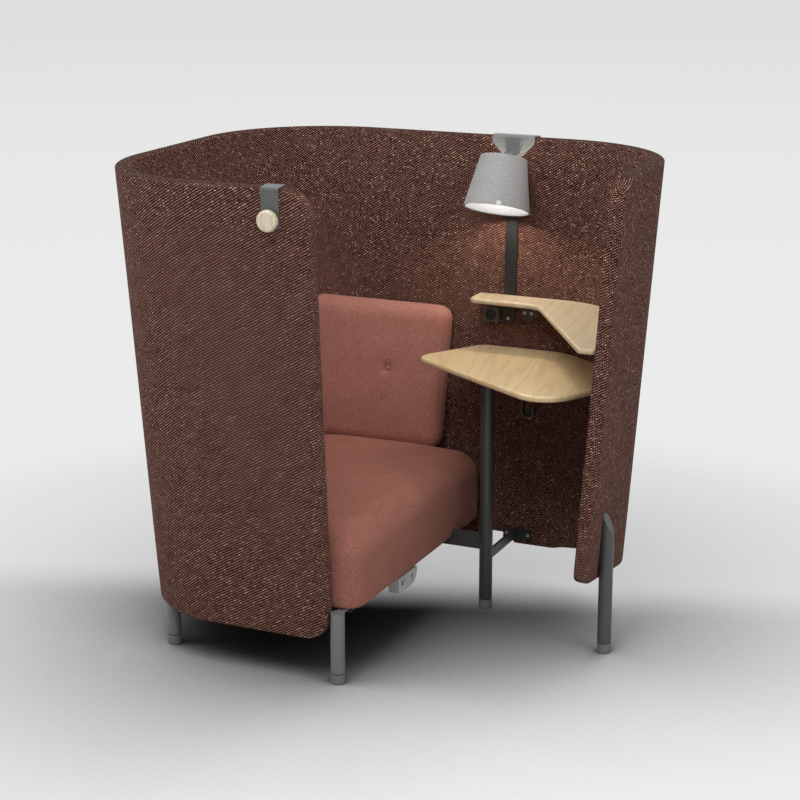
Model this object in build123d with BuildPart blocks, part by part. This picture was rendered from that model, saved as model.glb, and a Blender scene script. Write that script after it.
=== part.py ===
"""Acoustic high back lounge chair: a flared, upholstered C-shaped screen on five tube legs.

The screen holds an upholstered seat with two cushions, a writing table, a corner shelf,
a tilting reading lamp, a coat hook, a bag hook, a wall socket and an under-seat power unit.

Frame: millimetres, +Z up, origin on the floor under the middle of the screen's rim.
+X runs along the back wall to the right, +Y from the front to the back wall.
"""
import os
from math import atan2, cos, degrees, hypot, radians, sin, tan

from build123d import *

os.makedirs("parts", exist_ok=True)

# ---------------------------------------------------------------- screen
SCREEN_WIDTH = 1424.0         # outside, at the rim
SCREEN_DEPTH = 1184.0         # outside, at the rim
RIM_HEIGHT = 1380.0
SCREEN_BOTTOM = 120.0
CORNER_RADIUS = 390.0         # outside, at the rim
LEAN = 4.0                    # degrees the walls flare outward
WALL = 44.0                   # upholstered thickness
EDGE_RADIUS = 15.0            # padded edge
WING_END_X = 57.0             # free end of the front wing
RIGHT_END_Y = -85.0           # free end of the right wall
END_TOP_RADIUS = 80.0         # rounded top corner of both free ends
WING_FOOT_RADIUS = 70.0       # rounded lower corner of the front wing
RISE_ALONG_X = 0.11           # slope of the raised lower edge at the entry
RISE_ALONG_Y = 0.144
RISE_START = 92.0             # from the rim's back line to where the rise starts
NOTCH_SHIFT = 61.0            # cable notch in the back wall's lower edge, left of the table leg
NOTCH_WIDTH = 96.0
NOTCH_HEIGHT = 30.0
NOTCH_RADIUS = 14.0

# ---------------------------------------------------------------- legs and frame
LEG_DIAMETER = 40.0
LEG_POCKET_GAP = 0.5          # radial room of a leg in the padding
FOOT_HEIGHT = 28.0
FOOT_GROOVE = 3.0             # shadow gap between foot and tube
FOOT_NECK_DIAMETER = 30.0
FRAME_TOP = 232.0
RAIL_HEIGHT = 44.0
RAIL_WIDTH = 25.0
RAIL_WALL = 3.0
FRONT_RAIL_INSET = 44.0       # axis of the front rail, inside the seat's front
LEFT_RAIL_INSET = 149.0
RIGHT_RAIL_INSET = 46.0
CROSS_RAIL_SHIFT = 12.0       # behind the middle of the corner curves
TABLE_LEG_INSET = 111.0       # left of where the back wall starts to curve
ENTRY_LEG_INSET = 62.0        # axis of the entry leg, inside the rim's right side
ENTRY_LEG_BACK = 113.0        # axis of the entry leg, behind the right wall's free end
ENTRY_LEG_TOP = 420.0         # tip of the scarfed tube
SCARF_LENGTH = 66.0
POCKET_FLOOR = 24.0           # how far the entry leg's slot reaches past its axis
GUSSET = 6.0

# ---------------------------------------------------------------- seat
SEAT_RIGHT = 98.0
SEAT_LEFT_GAP = 1.7           # between the seat and the walls, at its lower edge
SEAT_FRONT_GAP = 4.7
SEAT_BACK_GAP = 9.7
SEAT_BOTTOM = 205.0
SEAT_TOP = 441.0
SEAT_CORNER = 56.0            # corners on the open side
SEAT_WALL = 30.0              # padded skirt around the seat board
SEAT_ROLL = 48.0              # rolled upper edge
SEAT_CROWN = 12.0             # how far the seat's ends lie below its middle
BOARD_THICKNESS = 15.0
BOARD_INSET = 24.0            # board's left edge, inside the seat
BOARD_GAP = 4.0               # between the board and the skirt
SOFT_GAP = 0.3                # between soft pieces and what they lie on

# ---------------------------------------------------------------- cushions
CUSHION_THICKNESS = 80.0
CUSHION_HEIGHT = 424.0
CUSHION_RADIUS = 46.0
CUSHION_CROWN = 14.0          # how far the middle of the face stands out
CUSHION_ROLL = 27.0           # rolled edge at the face
CUSHION_BACK_ROLL = 14.0      # rolled edge at the wall
CUSHION_BED = 16.0            # part of the lower edge that the seat presses in
SIDE_CUSHION_PAST = 124.0     # past the start of the curved corner
SIDE_CUSHION_INSET = 90.0     # inside the seat's open side
BACK_CUSHION_PAST = 90.0
BUTTON_SHIFT = 22.0           # the side cushion's button sits right of its middle
BUTTON_DIAMETER = 20.0
BUTTON_HEIGHT = 6.0
BUTTON_ROUND = 2.5
TUFT_RADIUS = 34.0
TUFT_DEPTH = 11.0
TUFT_LIP = 9.0                # soft edge around the tuft

# ---------------------------------------------------------------- table and shelf
TABLE_TOP = 744.0
TABLE_THICKNESS = 18.0
TABLE_EDGE = 6.0
SHELF_TOP = 906.0
SHELF_THICKNESS = 16.0
SHELF_EDGE = 4.0
TABLE_CORNERS = (34.0, 60.0, 150.0, 150.0, 90.0, 70.0)   # from the tip, clockwise from above
TABLE_TIP = (241.0, 12.0)     # tip, left of and behind the table leg
TABLE_LEFT = 153.0            # start of the back edge, left of the table leg
TABLE_BACK_END = 30.0         # end of the back edge, past the start of the curved corner
TABLE_SIDE_GAP = 12.0         # right edge to the wall
TABLE_SIDE_START = 116.0      # right edge, from the start of the curved corner
TABLE_NOSE = (6.0, 71.0)      # right front corner, from the right edge and the wall's free end
TABLE_FRONT = (132.0, -7.0)
SHELF_CORNERS = (4.0, 12.0, 16.0, 60.0, 26.0)            # all but the one in the screen's corner
SHELF_LEFT = 84.0             # left end, from the lamp
SHELF_LEFT_DEPTH = 156.0      # front edge there, behind the start of the curved corner
SHELF_ELBOW = (26.0, 128.0)   # inner bend, from the middle of the corner curve
SHELF_END = 23.0              # front end, behind the wall's free end
SHELF_END_WIDTH = 45.6
WOOD_GAP = 2.0                # between a wooden edge and the padding
FLANGE_DIAMETER = 120.0
FLANGE_THICKNESS = 4.0
FLANGE_HOLE_SPACING = 62.0

# ---------------------------------------------------------------- screws and wall brackets
SCREW_DIAMETER = 5.0
SCREW_HOLE = 5.5              # in steel
SCREW_PILOT = 5.1             # in wood and in the wall's core
SCREW_HEAD = 10.0
SCREW_HEAD_HEIGHT = 2.5
SCREW_GRIP = 12.0             # length in the wood
ANGLE_LEG = 60.0
ANGLE_WIDTH = 40.0
ANGLE_STEEL = 3.0
ANGLE_HOLE_SPACING = 22.0
ANGLE_HOLE_DROP = 38.0        # from the bend to the holes
TABLE_ANGLE_LEFT = 115.0      # left of the table leg
TABLE_ANGLE_RIGHT = 30.0      # left of where the back wall starts to curve
SHELF_ANGLE_BACK = 98.0
SHELF_ANGLE_SIDE = 42.0       # in front of where the right wall starts to curve
SHELF_ANGLE_END = 75.0        # behind the right wall's free end
SCREEN_ANGLE_INSET = 52.0     # the two screen brackets, from the start of the curved corners
STAY_PLATE = (94.0, 34.0, 4.0)
STAY_HOLE_SPACING = 70.0
STAY_BAR = (30.0, 8.0)
STAY_HEIGHT = 160.0
STAY_SHIFT = 8.0              # plate's middle, right of the table leg
STAY_DROP = 4.0               # plate's middle, below the stay
ENTRY_PLATE = (60.0, 110.0, 3.0)
ENTRY_BOLT = 8.0
ENTRY_BOLT_HOLE = 8.5
ENTRY_BOLT_TAP = 8.1
ENTRY_BOLT_LENGTH = 50.0      # from the padding into the leg
ENTRY_BOLT_HEAD = 18.0
ENTRY_BOLT_HEAD_HEIGHT = 4.0
ENTRY_BOLT_HEIGHT = 310.0
ENTRY_BOLT_SPACING = 70.0
GUSSET_BAR = 22.0

# ---------------------------------------------------------------- lamp
LAMP_INSET = 168.0            # left of where the back wall starts to curve
CLIP_WIDTH = 136.0
CLIP_STEEL = 4.0
CLIP_DEPTH = 64.0             # down both faces of the wall
CLIP_TAPER_START = 20.0
CLIP_CORNER = 22.0
CLIP_BEND = 7.0
RIM_GAP = 0.4                 # hooks on the padded rim
TONGUE_WIDTH = 44.0
TONGUE_DROP = 44.0            # middle of the tongue's thickness, below the rim
TONGUE_REACH = 82.0           # wall's inner face to the pivot
PIVOT_DROP = 14.0             # pivot axis under the tongue's middle
PIVOT_DIAMETER = 6.0
PIVOT_CLEARANCE = 0.04        # radial, in the knuckle
PIN_CLEARANCE = 0.02          # radial, in the ears
PIN_HEAD = 10.0
PIN_HEAD_THICKNESS = 2.0
KNUCKLE_WIDTH = 10.0
KNUCKLE_RADIUS = 7.0
EAR_THICKNESS = 4.0
EAR_GAP = 0.3
SHADE_TILT = 20.0             # degrees, as shown
SHADE_TOP_DIAMETER = 140.0
SHADE_BOTTOM_DIAMETER = 200.0
SHADE_HEIGHT = 158.0
SHADE_RISE = 8.0              # top rim of the shade, above the pivot along its axis
FELT = 3.0
LINER = 1.2
LAYER_GAP = 0.3
HUB_RADIUS = 12.0
HUB_TOP = -8.0                # along the shade's axis, from the pivot
HUB_BOTTOM = -16.0
SPIDER_TOP = -11.0
SPIDER_STEEL = 3.0
SPIDER_ARM = 8.0
HOLDER_DIAMETER = 34.0
HOLDER_HEIGHT = 42.0
HOLDER_ROUND = 3.0
BULB_DIAMETER = 56.0
BULB_NECK = 26.0
BULB_CENTRE = -95.0
TAB_SIZE = (14.0, 12.0, 2.5)
TAB_TURN = 23.0               # degrees from the front of the shade
STRAP_WIDTH = 38.0
STRAP_STEEL = 6.0
STRAP_BOTTOM = 815.0
STRAP_DROP = 68.0             # upper end, below the rim
STRAP_SHIFT = 7.0             # right of the lamp
STRAP_NOTCH = 1.5             # room of the strap in the shelf
STRAP_HOLE_INSET = 16.0

# ---------------------------------------------------------------- socket box
SOCKET_SHIFT = 46.0           # left of the lamp
SOCKET_HEIGHT = 840.0
SOCKET_SIZE = (52.0, 44.0, 18.0)
SOCKET_CORNER = 4.0
SOCKET_RECESS = 36.0
SOCKET_RECESS_DEPTH = 9.0
SOCKET_INSERT = 4.0           # thickness of the contact plate in the recess
SOCKET_PIN_HOLE = 5.0
SOCKET_PIN_SPACING = 19.0

# ---------------------------------------------------------------- power unit
POWER_SIZE = (35.0, 126.0, 44.4)
POWER_FRONT_Y = -176.0
POWER_BULGE = 38.0
POWER_GAP = 1.5               # between the frame and the unit
POWER_RECESS = (26.0, 30.0, 5.0)
POWER_RECESS_Y = 26.0         # from the unit's front end
POWER_PIN_HOLE = 6.0
POWER_ANGLE = (44.0, 22.0, 3.0)

# ---------------------------------------------------------------- hooks
COAT_INSET = 134.0            # left of the front wing's free end
COAT_WIDTH = 52.0
COAT_STEEL = 3.0
COAT_OUTSIDE = 104.0
COAT_INSIDE = 60.0
COAT_BEND = 6.0
KNOB_DIAMETER = 57.0
KNOB_THICKNESS = 21.0
KNOB_EDGE = 6.0
KNOB_DROP = 80.0
KNOB_NECK = 22.0
KNOB_NECK_LENGTH = 6.0
BAG_HOOK_SHIFT = (155.0, -118.0)   # from the table leg
BAG_WIDTH = 25.0
BAG_STEEL = 4.0
BAG_DROP = 72.0
BAG_REACH = 34.0
BAG_LIP = 30.0
BAG_BEND = 14.0
BAG_FLANGE = 44.0

# ---------------------------------------------------------------- worked out from the above
LEAN_ANGLE = radians(LEAN)
SLOPE = (RIM_HEIGHT - SCREEN_BOTTOM) / cos(LEAN_ANGLE)
AXIS_X = SCREEN_WIDTH / 2 - CORNER_RADIUS
AXIS_Y = SCREEN_DEPTH / 2 - CORNER_RADIUS
LEG_RADIUS = LEG_DIAMETER / 2
FOOT_TOTAL = FOOT_HEIGHT + FOOT_GROOVE
TABLE_UNDER = TABLE_TOP - TABLE_THICKNESS
SHELF_UNDER = SHELF_TOP - SHELF_THICKNESS


def wall_plane(turn, reach):
    """Plane on a wall's outer face: x along the wall, y up its slope, z into the room."""
    outward = Vector(-sin(radians(turn)), cos(radians(turn)), 0)
    inward = outward * -cos(LEAN_ANGLE) + Vector(0, 0, sin(LEAN_ANGLE))
    along = (cos(radians(turn)), sin(radians(turn)), 0)
    return Plane(origin=outward * reach + Vector(0, 0, RIM_HEIGHT), x_dir=along, z_dir=inward)


def inner_reach(reach, height):
    """Distance from the middle to a wall's inner face at a height."""
    return reach - tan(LEAN_ANGLE) * (RIM_HEIGHT - height) - WALL / cos(LEAN_ANGLE)


def slope_at(height, depth=WALL):
    """Local y on a wall plane of the point at a height, a depth inside the outer face."""
    return (height - RIM_HEIGHT - depth * sin(LEAN_ANGLE)) / cos(LEAN_ANGLE)


def room(gap):
    """Space between the screen's walls, less a gap."""
    with BuildPart() as space:
        for height in (0.0, RIM_HEIGHT):
            reach_x = inner_reach(SCREEN_WIDTH / 2, height) - gap
            reach_y = inner_reach(SCREEN_DEPTH / 2, height) - gap
            with BuildSketch(Plane.XY.offset(height)):
                RectangleRounded(2 * reach_x, 2 * reach_y, reach_x - AXIS_X)
        loft(ruled=True)
    return space.part


def strip(plane, points, radius, thickness, width):
    """Bent strip of sheet metal, from its centre line on the plane across its width."""
    with BuildSketch(plane) as outline:
        with BuildLine():
            FilletPolyline(*points, radius=radius)
        trace(line_width=thickness)
    with BuildPart() as bent:
        extrude(outline.sketch, amount=width / 2, both=True)
    return bent.part


BACK = wall_plane(0, SCREEN_DEPTH / 2)
LEFT = wall_plane(90, SCREEN_WIDTH / 2)
FRONT = wall_plane(180, SCREEN_DEPTH / 2)
RIGHT = wall_plane(270, SCREEN_WIDTH / 2)

# the seat and its frame follow the walls
SEAT_LEFT = SEAT_LEFT_GAP - inner_reach(SCREEN_WIDTH / 2, SEAT_BOTTOM)
SEAT_FRONT = SEAT_FRONT_GAP - inner_reach(SCREEN_DEPTH / 2, SEAT_BOTTOM)
SEAT_BACK = inner_reach(SCREEN_DEPTH / 2, SEAT_BOTTOM) - SEAT_BACK_GAP
FRONT_RAIL_Y = SEAT_FRONT + FRONT_RAIL_INSET
LEFT_RAIL_X = SEAT_LEFT + LEFT_RAIL_INSET
RIGHT_RAIL_X = SEAT_RIGHT - RIGHT_RAIL_INSET
CROSS_RAIL_Y = AXIS_Y + CROSS_RAIL_SHIFT
TABLE_LEG_X = AXIS_X - TABLE_LEG_INSET
SEAT_LEG_Y = -inner_reach(SCREEN_DEPTH / 2, SCREEN_BOTTOM) - WALL / 2
ENTRY_LEG = (SCREEN_WIDTH / 2 - ENTRY_LEG_INSET, RIGHT_END_Y + ENTRY_LEG_BACK)
NOTCH_X = TABLE_LEG_X - NOTCH_SHIFT
LAMP_X = AXIS_X - LAMP_INSET
STRAP_X = LAMP_X + STRAP_SHIFT
STRAP_TOP = RIM_HEIGHT - STRAP_DROP
TONGUE_Z = RIM_HEIGHT - TONGUE_DROP
PIVOT_Y = inner_reach(SCREEN_DEPTH / 2, TONGUE_Z) - TONGUE_REACH
SOCKET_X = LAMP_X - SOCKET_SHIFT
COAT_X = WING_END_X - COAT_INSET
BAG_HOOK = (TABLE_LEG_X + BAG_HOOK_SHIFT[0], CROSS_RAIL_Y + BAG_HOOK_SHIFT[1])

# the two front legs stand in the padding, halfway through the wall
corner_mid = CORNER_RADIUS - tan(LEAN_ANGLE) * (RIM_HEIGHT - SCREEN_BOTTOM) - WALL / 2 / cos(LEAN_ANGLE)
LEG_FRONT_LEFT = (-AXIS_X - corner_mid * sin(radians(41)), -AXIS_Y - corner_mid * cos(radians(41)))
LEG_REAR_LEFT = (LEG_FRONT_LEFT[0], -LEG_FRONT_LEFT[1])
LEG_SEAT = (RIGHT_RAIL_X, SEAT_LEG_Y)
LEG_TABLE = (TABLE_LEG_X, CROSS_RAIL_Y)


def export(builder, name):
    """Label a finished piece and write it as its own node."""
    builder.part.label = name
    export_step(builder.part, f"parts/{name}.step")


# angle brackets under the boards: turn and reach of the wall, place along it, height of the board
ANGLES = (
    (0, SCREEN_DEPTH / 2, TABLE_LEG_X - TABLE_ANGLE_LEFT, TABLE_UNDER),
    (0, SCREEN_DEPTH / 2, AXIS_X - TABLE_ANGLE_RIGHT, TABLE_UNDER),
    (0, SCREEN_DEPTH / 2, AXIS_X - SHELF_ANGLE_BACK, SHELF_UNDER),
    (270, SCREEN_WIDTH / 2, SHELF_ANGLE_SIDE - AXIS_Y, SHELF_UNDER),
    (270, SCREEN_WIDTH / 2, -RIGHT_END_Y - SHELF_ANGLE_END, SHELF_UNDER),
)


# screws in the back wall: place along it and height
STRAP_SCREWS = [(STRAP_X, STRAP_BOTTOM + STRAP_HOLE_INSET), (STRAP_X, STRAP_TOP - STRAP_HOLE_INSET)]
STAY_SCREWS = [(TABLE_LEG_X + STAY_SHIFT + side * STAY_HOLE_SPACING / 2, STAY_HEIGHT - STAY_DROP)
               for side in (-1, 1)]


def board_screw_spots(turn, reach, across, height):
    """Plan points of the two screws of an angle in the board above it."""
    outward = Vector(-sin(radians(turn)), cos(radians(turn)), 0)
    along = Vector(cos(radians(turn)), sin(radians(turn)), 0)
    foot = outward * (inner_reach(reach, height) - ANGLE_HOLE_DROP)
    return [foot + along * (across + side * ANGLE_HOLE_SPACING / 2) for side in (-1, 1)]


def wall_screw_spots(turn, reach, across, height):
    """Points on the wall's padding behind the two screws of an angle, and the wall's plane."""
    surface = wall_plane(turn, reach).offset(WALL + SOFT_GAP)
    level = slope_at(height - ANGLE_HOLE_DROP)
    return surface, [(across + side * ANGLE_HOLE_SPACING / 2, level) for side in (-1, 1)]


def all_wall_screws():
    """Plane of the padding, spots on it and steel thickness of every screw in a wall."""
    groups = [(*wall_screw_spots(*angle), ANGLE_STEEL) for angle in ANGLES]
    padding = BACK.offset(WALL + SOFT_GAP)
    groups.append((padding, [(x, slope_at(z)) for x, z in STRAP_SCREWS], STRAP_STEEL))
    groups.append((padding, [(x, slope_at(z)) for x, z in STAY_SCREWS], STAY_PLATE[2]))
    return groups


# plane of the entry plate on the right wall, its origin between the two bolts
ENTRY_BOLTS = Plane(origin=RIGHT.offset(WALL + SOFT_GAP).from_local_coords(
    (-ENTRY_LEG[1], slope_at(ENTRY_BOLT_HEIGHT), 0)), x_dir=RIGHT.x_dir, z_dir=RIGHT.z_dir)


# ================================================================ screen
def wall_plate(plane, start, end):
    """Elevation of a straight wall between two places along it."""
    with BuildSketch(plane) as plate:
        with Locations(((start + end) / 2, -SLOPE / 2)):
            Rectangle(end - start, SLOPE)
    return plate.sketch


def is_across(edge):
    """True for an edge that runs through the thickness of a wall."""
    return edge.geom_type == GeomType.LINE and abs(edge.length - WALL) < 1.0


with BuildPart() as front_wing:
    extrude(wall_plate(FRONT, -WING_END_X, AXIS_X), amount=WALL)
    free_end = front_wing.edges().filter_by(is_across).group_by(Axis.X)[-1].sort_by(Axis.Z)
    fillet(free_end[0], WING_FOOT_RADIUS)
    free_end = front_wing.edges().filter_by(is_across).group_by(Axis.X)[-1]
    fillet(free_end, END_TOP_RADIUS)
    joint_edges = front_wing.faces().sort_by(Axis.X)[0].edges()
    fillet([e for e in front_wing.edges() if not is_across(e) and e not in joint_edges], EDGE_RADIUS)

with BuildPart() as right_wing:
    extrude(wall_plate(RIGHT, -AXIS_Y, -RIGHT_END_Y), amount=WALL)
    free_end = right_wing.edges().filter_by(is_across).group_by(Axis.Y)[0].sort_by(Axis.Z)
    fillet(free_end[-1], END_TOP_RADIUS)
    joint_edges = right_wing.faces().sort_by(Axis.Y)[-1].edges()
    fillet([e for e in right_wing.edges() if not is_across(e) and e not in joint_edges], EDGE_RADIUS)

with BuildPart() as screen_shell:
    extrude(wall_plate(LEFT, -AXIS_Y, AXIS_Y), amount=WALL)
    extrude(wall_plate(BACK, -AXIS_X, AXIS_X), amount=WALL)
    level = screen_shell.edges().filter_by(lambda e: abs((e @ 1 - e @ 0).Z) < 1e-6)
    fillet([e for e in level if e.length > 2 * WALL], EDGE_RADIUS)
    for turn, side_x, side_y in ((0, 1, 1), (90, -1, 1), (180, -1, -1)):
        radial = Vector(cos(radians(turn)), sin(radians(turn)), 0)
        axis_foot = Vector(side_x * AXIS_X, side_y * AXIS_Y, 0)
        wall_section = Plane(origin=axis_foot + Vector(0, 0, RIM_HEIGHT), x_dir=radial,
                             z_dir=radial.rotate(Axis.Z, -90))
        down = Vector(-sin(LEAN_ANGLE), -cos(LEAN_ANGLE)) * SLOPE
        inward = Vector(-cos(LEAN_ANGLE), sin(LEAN_ANGLE)) * WALL
        rim = Vector(CORNER_RADIUS, 0)
        with BuildSketch(wall_section) as section:
            with BuildLine():
                Polyline(rim, rim + down, rim + down + inward, rim + inward, close=True)
            make_face()
            fillet(section.vertices(), EDGE_RADIUS)
        revolve(axis=Axis(axis_foot, (0, 0, 1)), revolution_arc=90)
    add(front_wing.part)
    add(right_wing.part)
    # the lower edge rises from the back wall toward the entry
    rise = Plane(origin=(AXIS_X, SCREEN_DEPTH / 2 - RISE_START, SCREEN_BOTTOM),
                 x_dir=(1, 0, RISE_ALONG_X), z_dir=(-RISE_ALONG_X, RISE_ALONG_Y, 1))
    with BuildSketch(rise):
        Rectangle(CORNER_RADIUS, SCREEN_DEPTH, align=(Align.MIN, Align.CENTER))
    extrude(amount=-SCREEN_BOTTOM, mode=Mode.SUBTRACT)
    # cable notch under the back wall
    with BuildSketch(BACK) as notch:
        with Locations((NOTCH_X, -SLOPE)):
            Rectangle(NOTCH_WIDTH, 2 * NOTCH_HEIGHT)
        fillet(notch.vertices(), NOTCH_RADIUS)
    extrude(amount=WALL, mode=Mode.SUBTRACT)
    # pockets of the three legs that stand in the padding
    pocket_radius = LEG_RADIUS + LEG_POCKET_GAP
    for spot in (LEG_FRONT_LEFT, LEG_REAR_LEFT, LEG_SEAT):
        with BuildSketch(Plane.XY):
            with Locations(spot):
                Circle(pocket_radius)
        extrude(amount=FRAME_TOP + LEG_POCKET_GAP, mode=Mode.SUBTRACT)
    # pilot holes of the screws in the walls, and the holes of the entry leg's bolts
    for surface, spots, _ in all_wall_screws():
        with BuildSketch(surface):
            with Locations(*spots):
                Circle(SCREW_PILOT / 2)
        extrude(amount=-(SCREW_GRIP + 1), mode=Mode.SUBTRACT)
    with BuildSketch(ENTRY_BOLTS):
        with GridLocations(0, ENTRY_BOLT_SPACING, 1, 2):
            Circle(ENTRY_BOLT_HOLE / 2)
    extrude(amount=-WALL, mode=Mode.SUBTRACT)
    # open slot of the entry leg, with an arched top
    with BuildSketch(Plane.YZ.offset(ENTRY_LEG[0] - POCKET_FLOOR)):
        with Locations((ENTRY_LEG[1], ENTRY_LEG_TOP - pocket_radius)):
            Circle(pocket_radius)
        with Locations((ENTRY_LEG[1], 0)):
            Rectangle(2 * pocket_radius, ENTRY_LEG_TOP - pocket_radius,
                      align=(Align.CENTER, Align.MIN))
    extrude(amount=CORNER_RADIUS, mode=Mode.SUBTRACT)
export(screen_shell, "screen_shell")


# ================================================================ legs
def foot_profile():
    """Half section of a leg's foot with the shadow groove above it."""
    with BuildSketch(Plane.XZ) as profile:
        with BuildLine():
            Polyline((0, 0), (LEG_RADIUS - 1.5, 0), (LEG_RADIUS, 1.5), (LEG_RADIUS, FOOT_HEIGHT),
                     (FOOT_NECK_DIAMETER / 2, FOOT_HEIGHT), (FOOT_NECK_DIAMETER / 2, FOOT_TOTAL),
                     (0, FOOT_TOTAL), close=True)
        make_face()
    return profile.sketch


leg_tops = {
    "leg_front_left": (LEG_FRONT_LEFT, FRAME_TOP - GUSSET),
    "leg_rear_left": (LEG_REAR_LEFT, FRAME_TOP - GUSSET),
    "leg_seat_front": (LEG_SEAT, SEAT_BOTTOM - SOFT_GAP - GUSSET),
    "leg_table": (LEG_TABLE, TABLE_TOP - TABLE_THICKNESS - FLANGE_THICKNESS),
}
for name, (spot, top) in leg_tops.items():
    with BuildPart() as leg:
        with BuildSketch(Plane.XY.offset(FOOT_TOTAL)):
            with Locations(spot):
                Circle(LEG_RADIUS)
        extrude(amount=top - FOOT_TOTAL)
    export(leg, name)

with BuildPart() as leg_entry:
    with BuildSketch(Plane.XY.offset(FOOT_TOTAL)):
        with Locations(ENTRY_LEG):
            Circle(LEG_RADIUS)
    extrude(amount=ENTRY_LEG_TOP - LEG_POCKET_GAP - FOOT_TOTAL)
    # scarf that lets the tube die into the arch of its slot
    with BuildSketch(Plane.XZ.offset(-ENTRY_LEG[1])):
        with BuildLine():
            Polyline((ENTRY_LEG[0] - LEG_RADIUS / 2, ENTRY_LEG_TOP),
                     (ENTRY_LEG[0] + LEG_RADIUS + 1, ENTRY_LEG_TOP - SCARF_LENGTH),
                     (ENTRY_LEG[0] + LEG_RADIUS + 1, ENTRY_LEG_TOP), close=True)
        make_face()
    extrude(amount=LEG_DIAMETER, both=True, mode=Mode.SUBTRACT)
    # the tip is rounded to follow the arch
    with BuildSketch(Plane.YZ.offset(ENTRY_LEG[0] - LEG_RADIUS)):
        with Locations((ENTRY_LEG[1], 0)):
            Rectangle(LEG_DIAMETER + 2, ENTRY_LEG_TOP - LEG_RADIUS - LEG_POCKET_GAP,
                      align=(Align.CENTER, Align.MIN))
        with Locations((ENTRY_LEG[1], ENTRY_LEG_TOP - LEG_RADIUS - LEG_POCKET_GAP)):
            Circle(LEG_RADIUS)
    extrude(amount=LEG_DIAMETER + 2, mode=Mode.INTERSECT)
    # tapped holes of the two bolts
    with BuildSketch(ENTRY_BOLTS):
        with GridLocations(0, ENTRY_BOLT_SPACING, 1, 2):
            Circle(ENTRY_BOLT_TAP / 2)
    extrude(amount=-ENTRY_BOLT_LENGTH, mode=Mode.SUBTRACT)
export(leg_entry, "leg_entry")

with BuildPart() as leg_feet:
    for spot in (LEG_FRONT_LEFT, LEG_REAR_LEFT, LEG_SEAT, LEG_TABLE, ENTRY_LEG):
        with Locations((spot[0], spot[1], 0)):
            add(revolve(foot_profile(), axis=Axis.Z, mode=Mode.PRIVATE))
export(leg_feet, "leg_feet")


# ================================================================ seat frame
def rail(name, start, end, cutter=None):
    """Rectangular tube between two plan points, both on the axis of the tube."""
    direction = Vector(end[0] - start[0], end[1] - start[1], 0)
    end_plane = Plane(origin=(start[0], start[1], FRAME_TOP - RAIL_HEIGHT / 2),
                      x_dir=direction.rotate(Axis.Z, 90), z_dir=direction)
    with BuildPart() as tube:
        with BuildSketch(end_plane):
            Rectangle(RAIL_WIDTH, RAIL_HEIGHT)
            Rectangle(RAIL_WIDTH - 2 * RAIL_WALL, RAIL_HEIGHT - 2 * RAIL_WALL, mode=Mode.SUBTRACT)
        extrude(amount=direction.length)
        if cutter is not None:
            with BuildSketch(Plane.XY):
                with Locations(cutter):
                    Circle(LEG_RADIUS)
            extrude(amount=FRAME_TOP, mode=Mode.SUBTRACT)
    export(tube, name)


half_rail = RAIL_WIDTH / 2
rail("rail_left", (LEFT_RAIL_X, FRONT_RAIL_Y - half_rail), (LEFT_RAIL_X, -FRONT_RAIL_Y + half_rail))
rail("rail_front", (LEFT_RAIL_X + half_rail, FRONT_RAIL_Y), (RIGHT_RAIL_X + half_rail, FRONT_RAIL_Y))
rail("rail_right", (RIGHT_RAIL_X, FRONT_RAIL_Y + half_rail), (RIGHT_RAIL_X, CROSS_RAIL_Y - half_rail))
rail("rail_cross", (LEFT_RAIL_X + half_rail, CROSS_RAIL_Y), LEG_TABLE, cutter=LEG_TABLE)

with BuildPart() as leg_gussets:
    for side in (-1, 1):
        spot = (LEG_FRONT_LEFT[0], side * -LEG_FRONT_LEFT[1])
        toward = degrees(atan2(side * AXIS_Y - spot[1], -AXIS_X - spot[0]))
        with BuildSketch(Plane.XY.offset(FRAME_TOP - GUSSET)):
            with Locations(spot):
                Circle(LEG_RADIUS)
            with Locations(Location((spot[0], spot[1], 0), (0, 0, toward))):
                Rectangle(CORNER_RADIUS / 2, GUSSET_BAR, align=(Align.MIN, Align.CENTER))
            with Locations((LEFT_RAIL_X - half_rail, 0)):
                Rectangle(SCREEN_WIDTH, SCREEN_DEPTH, align=(Align.MIN, Align.CENTER),
                          mode=Mode.SUBTRACT)
        extrude(amount=GUSSET)
export(leg_gussets, "leg_gussets")

with BuildPart() as seat_leg_plate:
    with BuildSketch(Plane.XY.offset(SEAT_BOTTOM - SOFT_GAP - GUSSET)):
        with Locations(LEG_SEAT):
            Circle(LEG_RADIUS)
            Rectangle(GUSSET_BAR, FRONT_RAIL_Y - half_rail - LEG_SEAT[1], align=(Align.CENTER, Align.MIN))
    extrude(amount=GUSSET)
export(seat_leg_plate, "seat_leg_plate")

# flat bars that carry the screen on the left rail
with BuildPart() as screen_brackets:
    bar_top = FRAME_TOP - RAIL_HEIGHT
    for place in (SCREEN_ANGLE_INSET - AXIS_Y, AXIS_Y - SCREEN_ANGLE_INSET):
        with BuildSketch(Plane.XZ.offset(-place + ANGLE_WIDTH / 2)):
            with BuildLine():
                wall_low = -inner_reach(SCREEN_WIDTH / 2, bar_top - ANGLE_STEEL) + SOFT_GAP
                wall_high = -inner_reach(SCREEN_WIDTH / 2, bar_top + ANGLE_LEG) + SOFT_GAP
                bend = -inner_reach(SCREEN_WIDTH / 2, bar_top) + SOFT_GAP + ANGLE_STEEL
                Polyline((wall_low, bar_top - ANGLE_STEEL), (LEFT_RAIL_X + half_rail, bar_top - ANGLE_STEEL),
                         (LEFT_RAIL_X + half_rail, bar_top), (bend, bar_top),
                         (wall_high + ANGLE_STEEL, bar_top + ANGLE_LEG),
                         (wall_high, bar_top + ANGLE_LEG), close=True)
            make_face()
        extrude(amount=-ANGLE_WIDTH)
export(screen_brackets, "screen_brackets")

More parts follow.
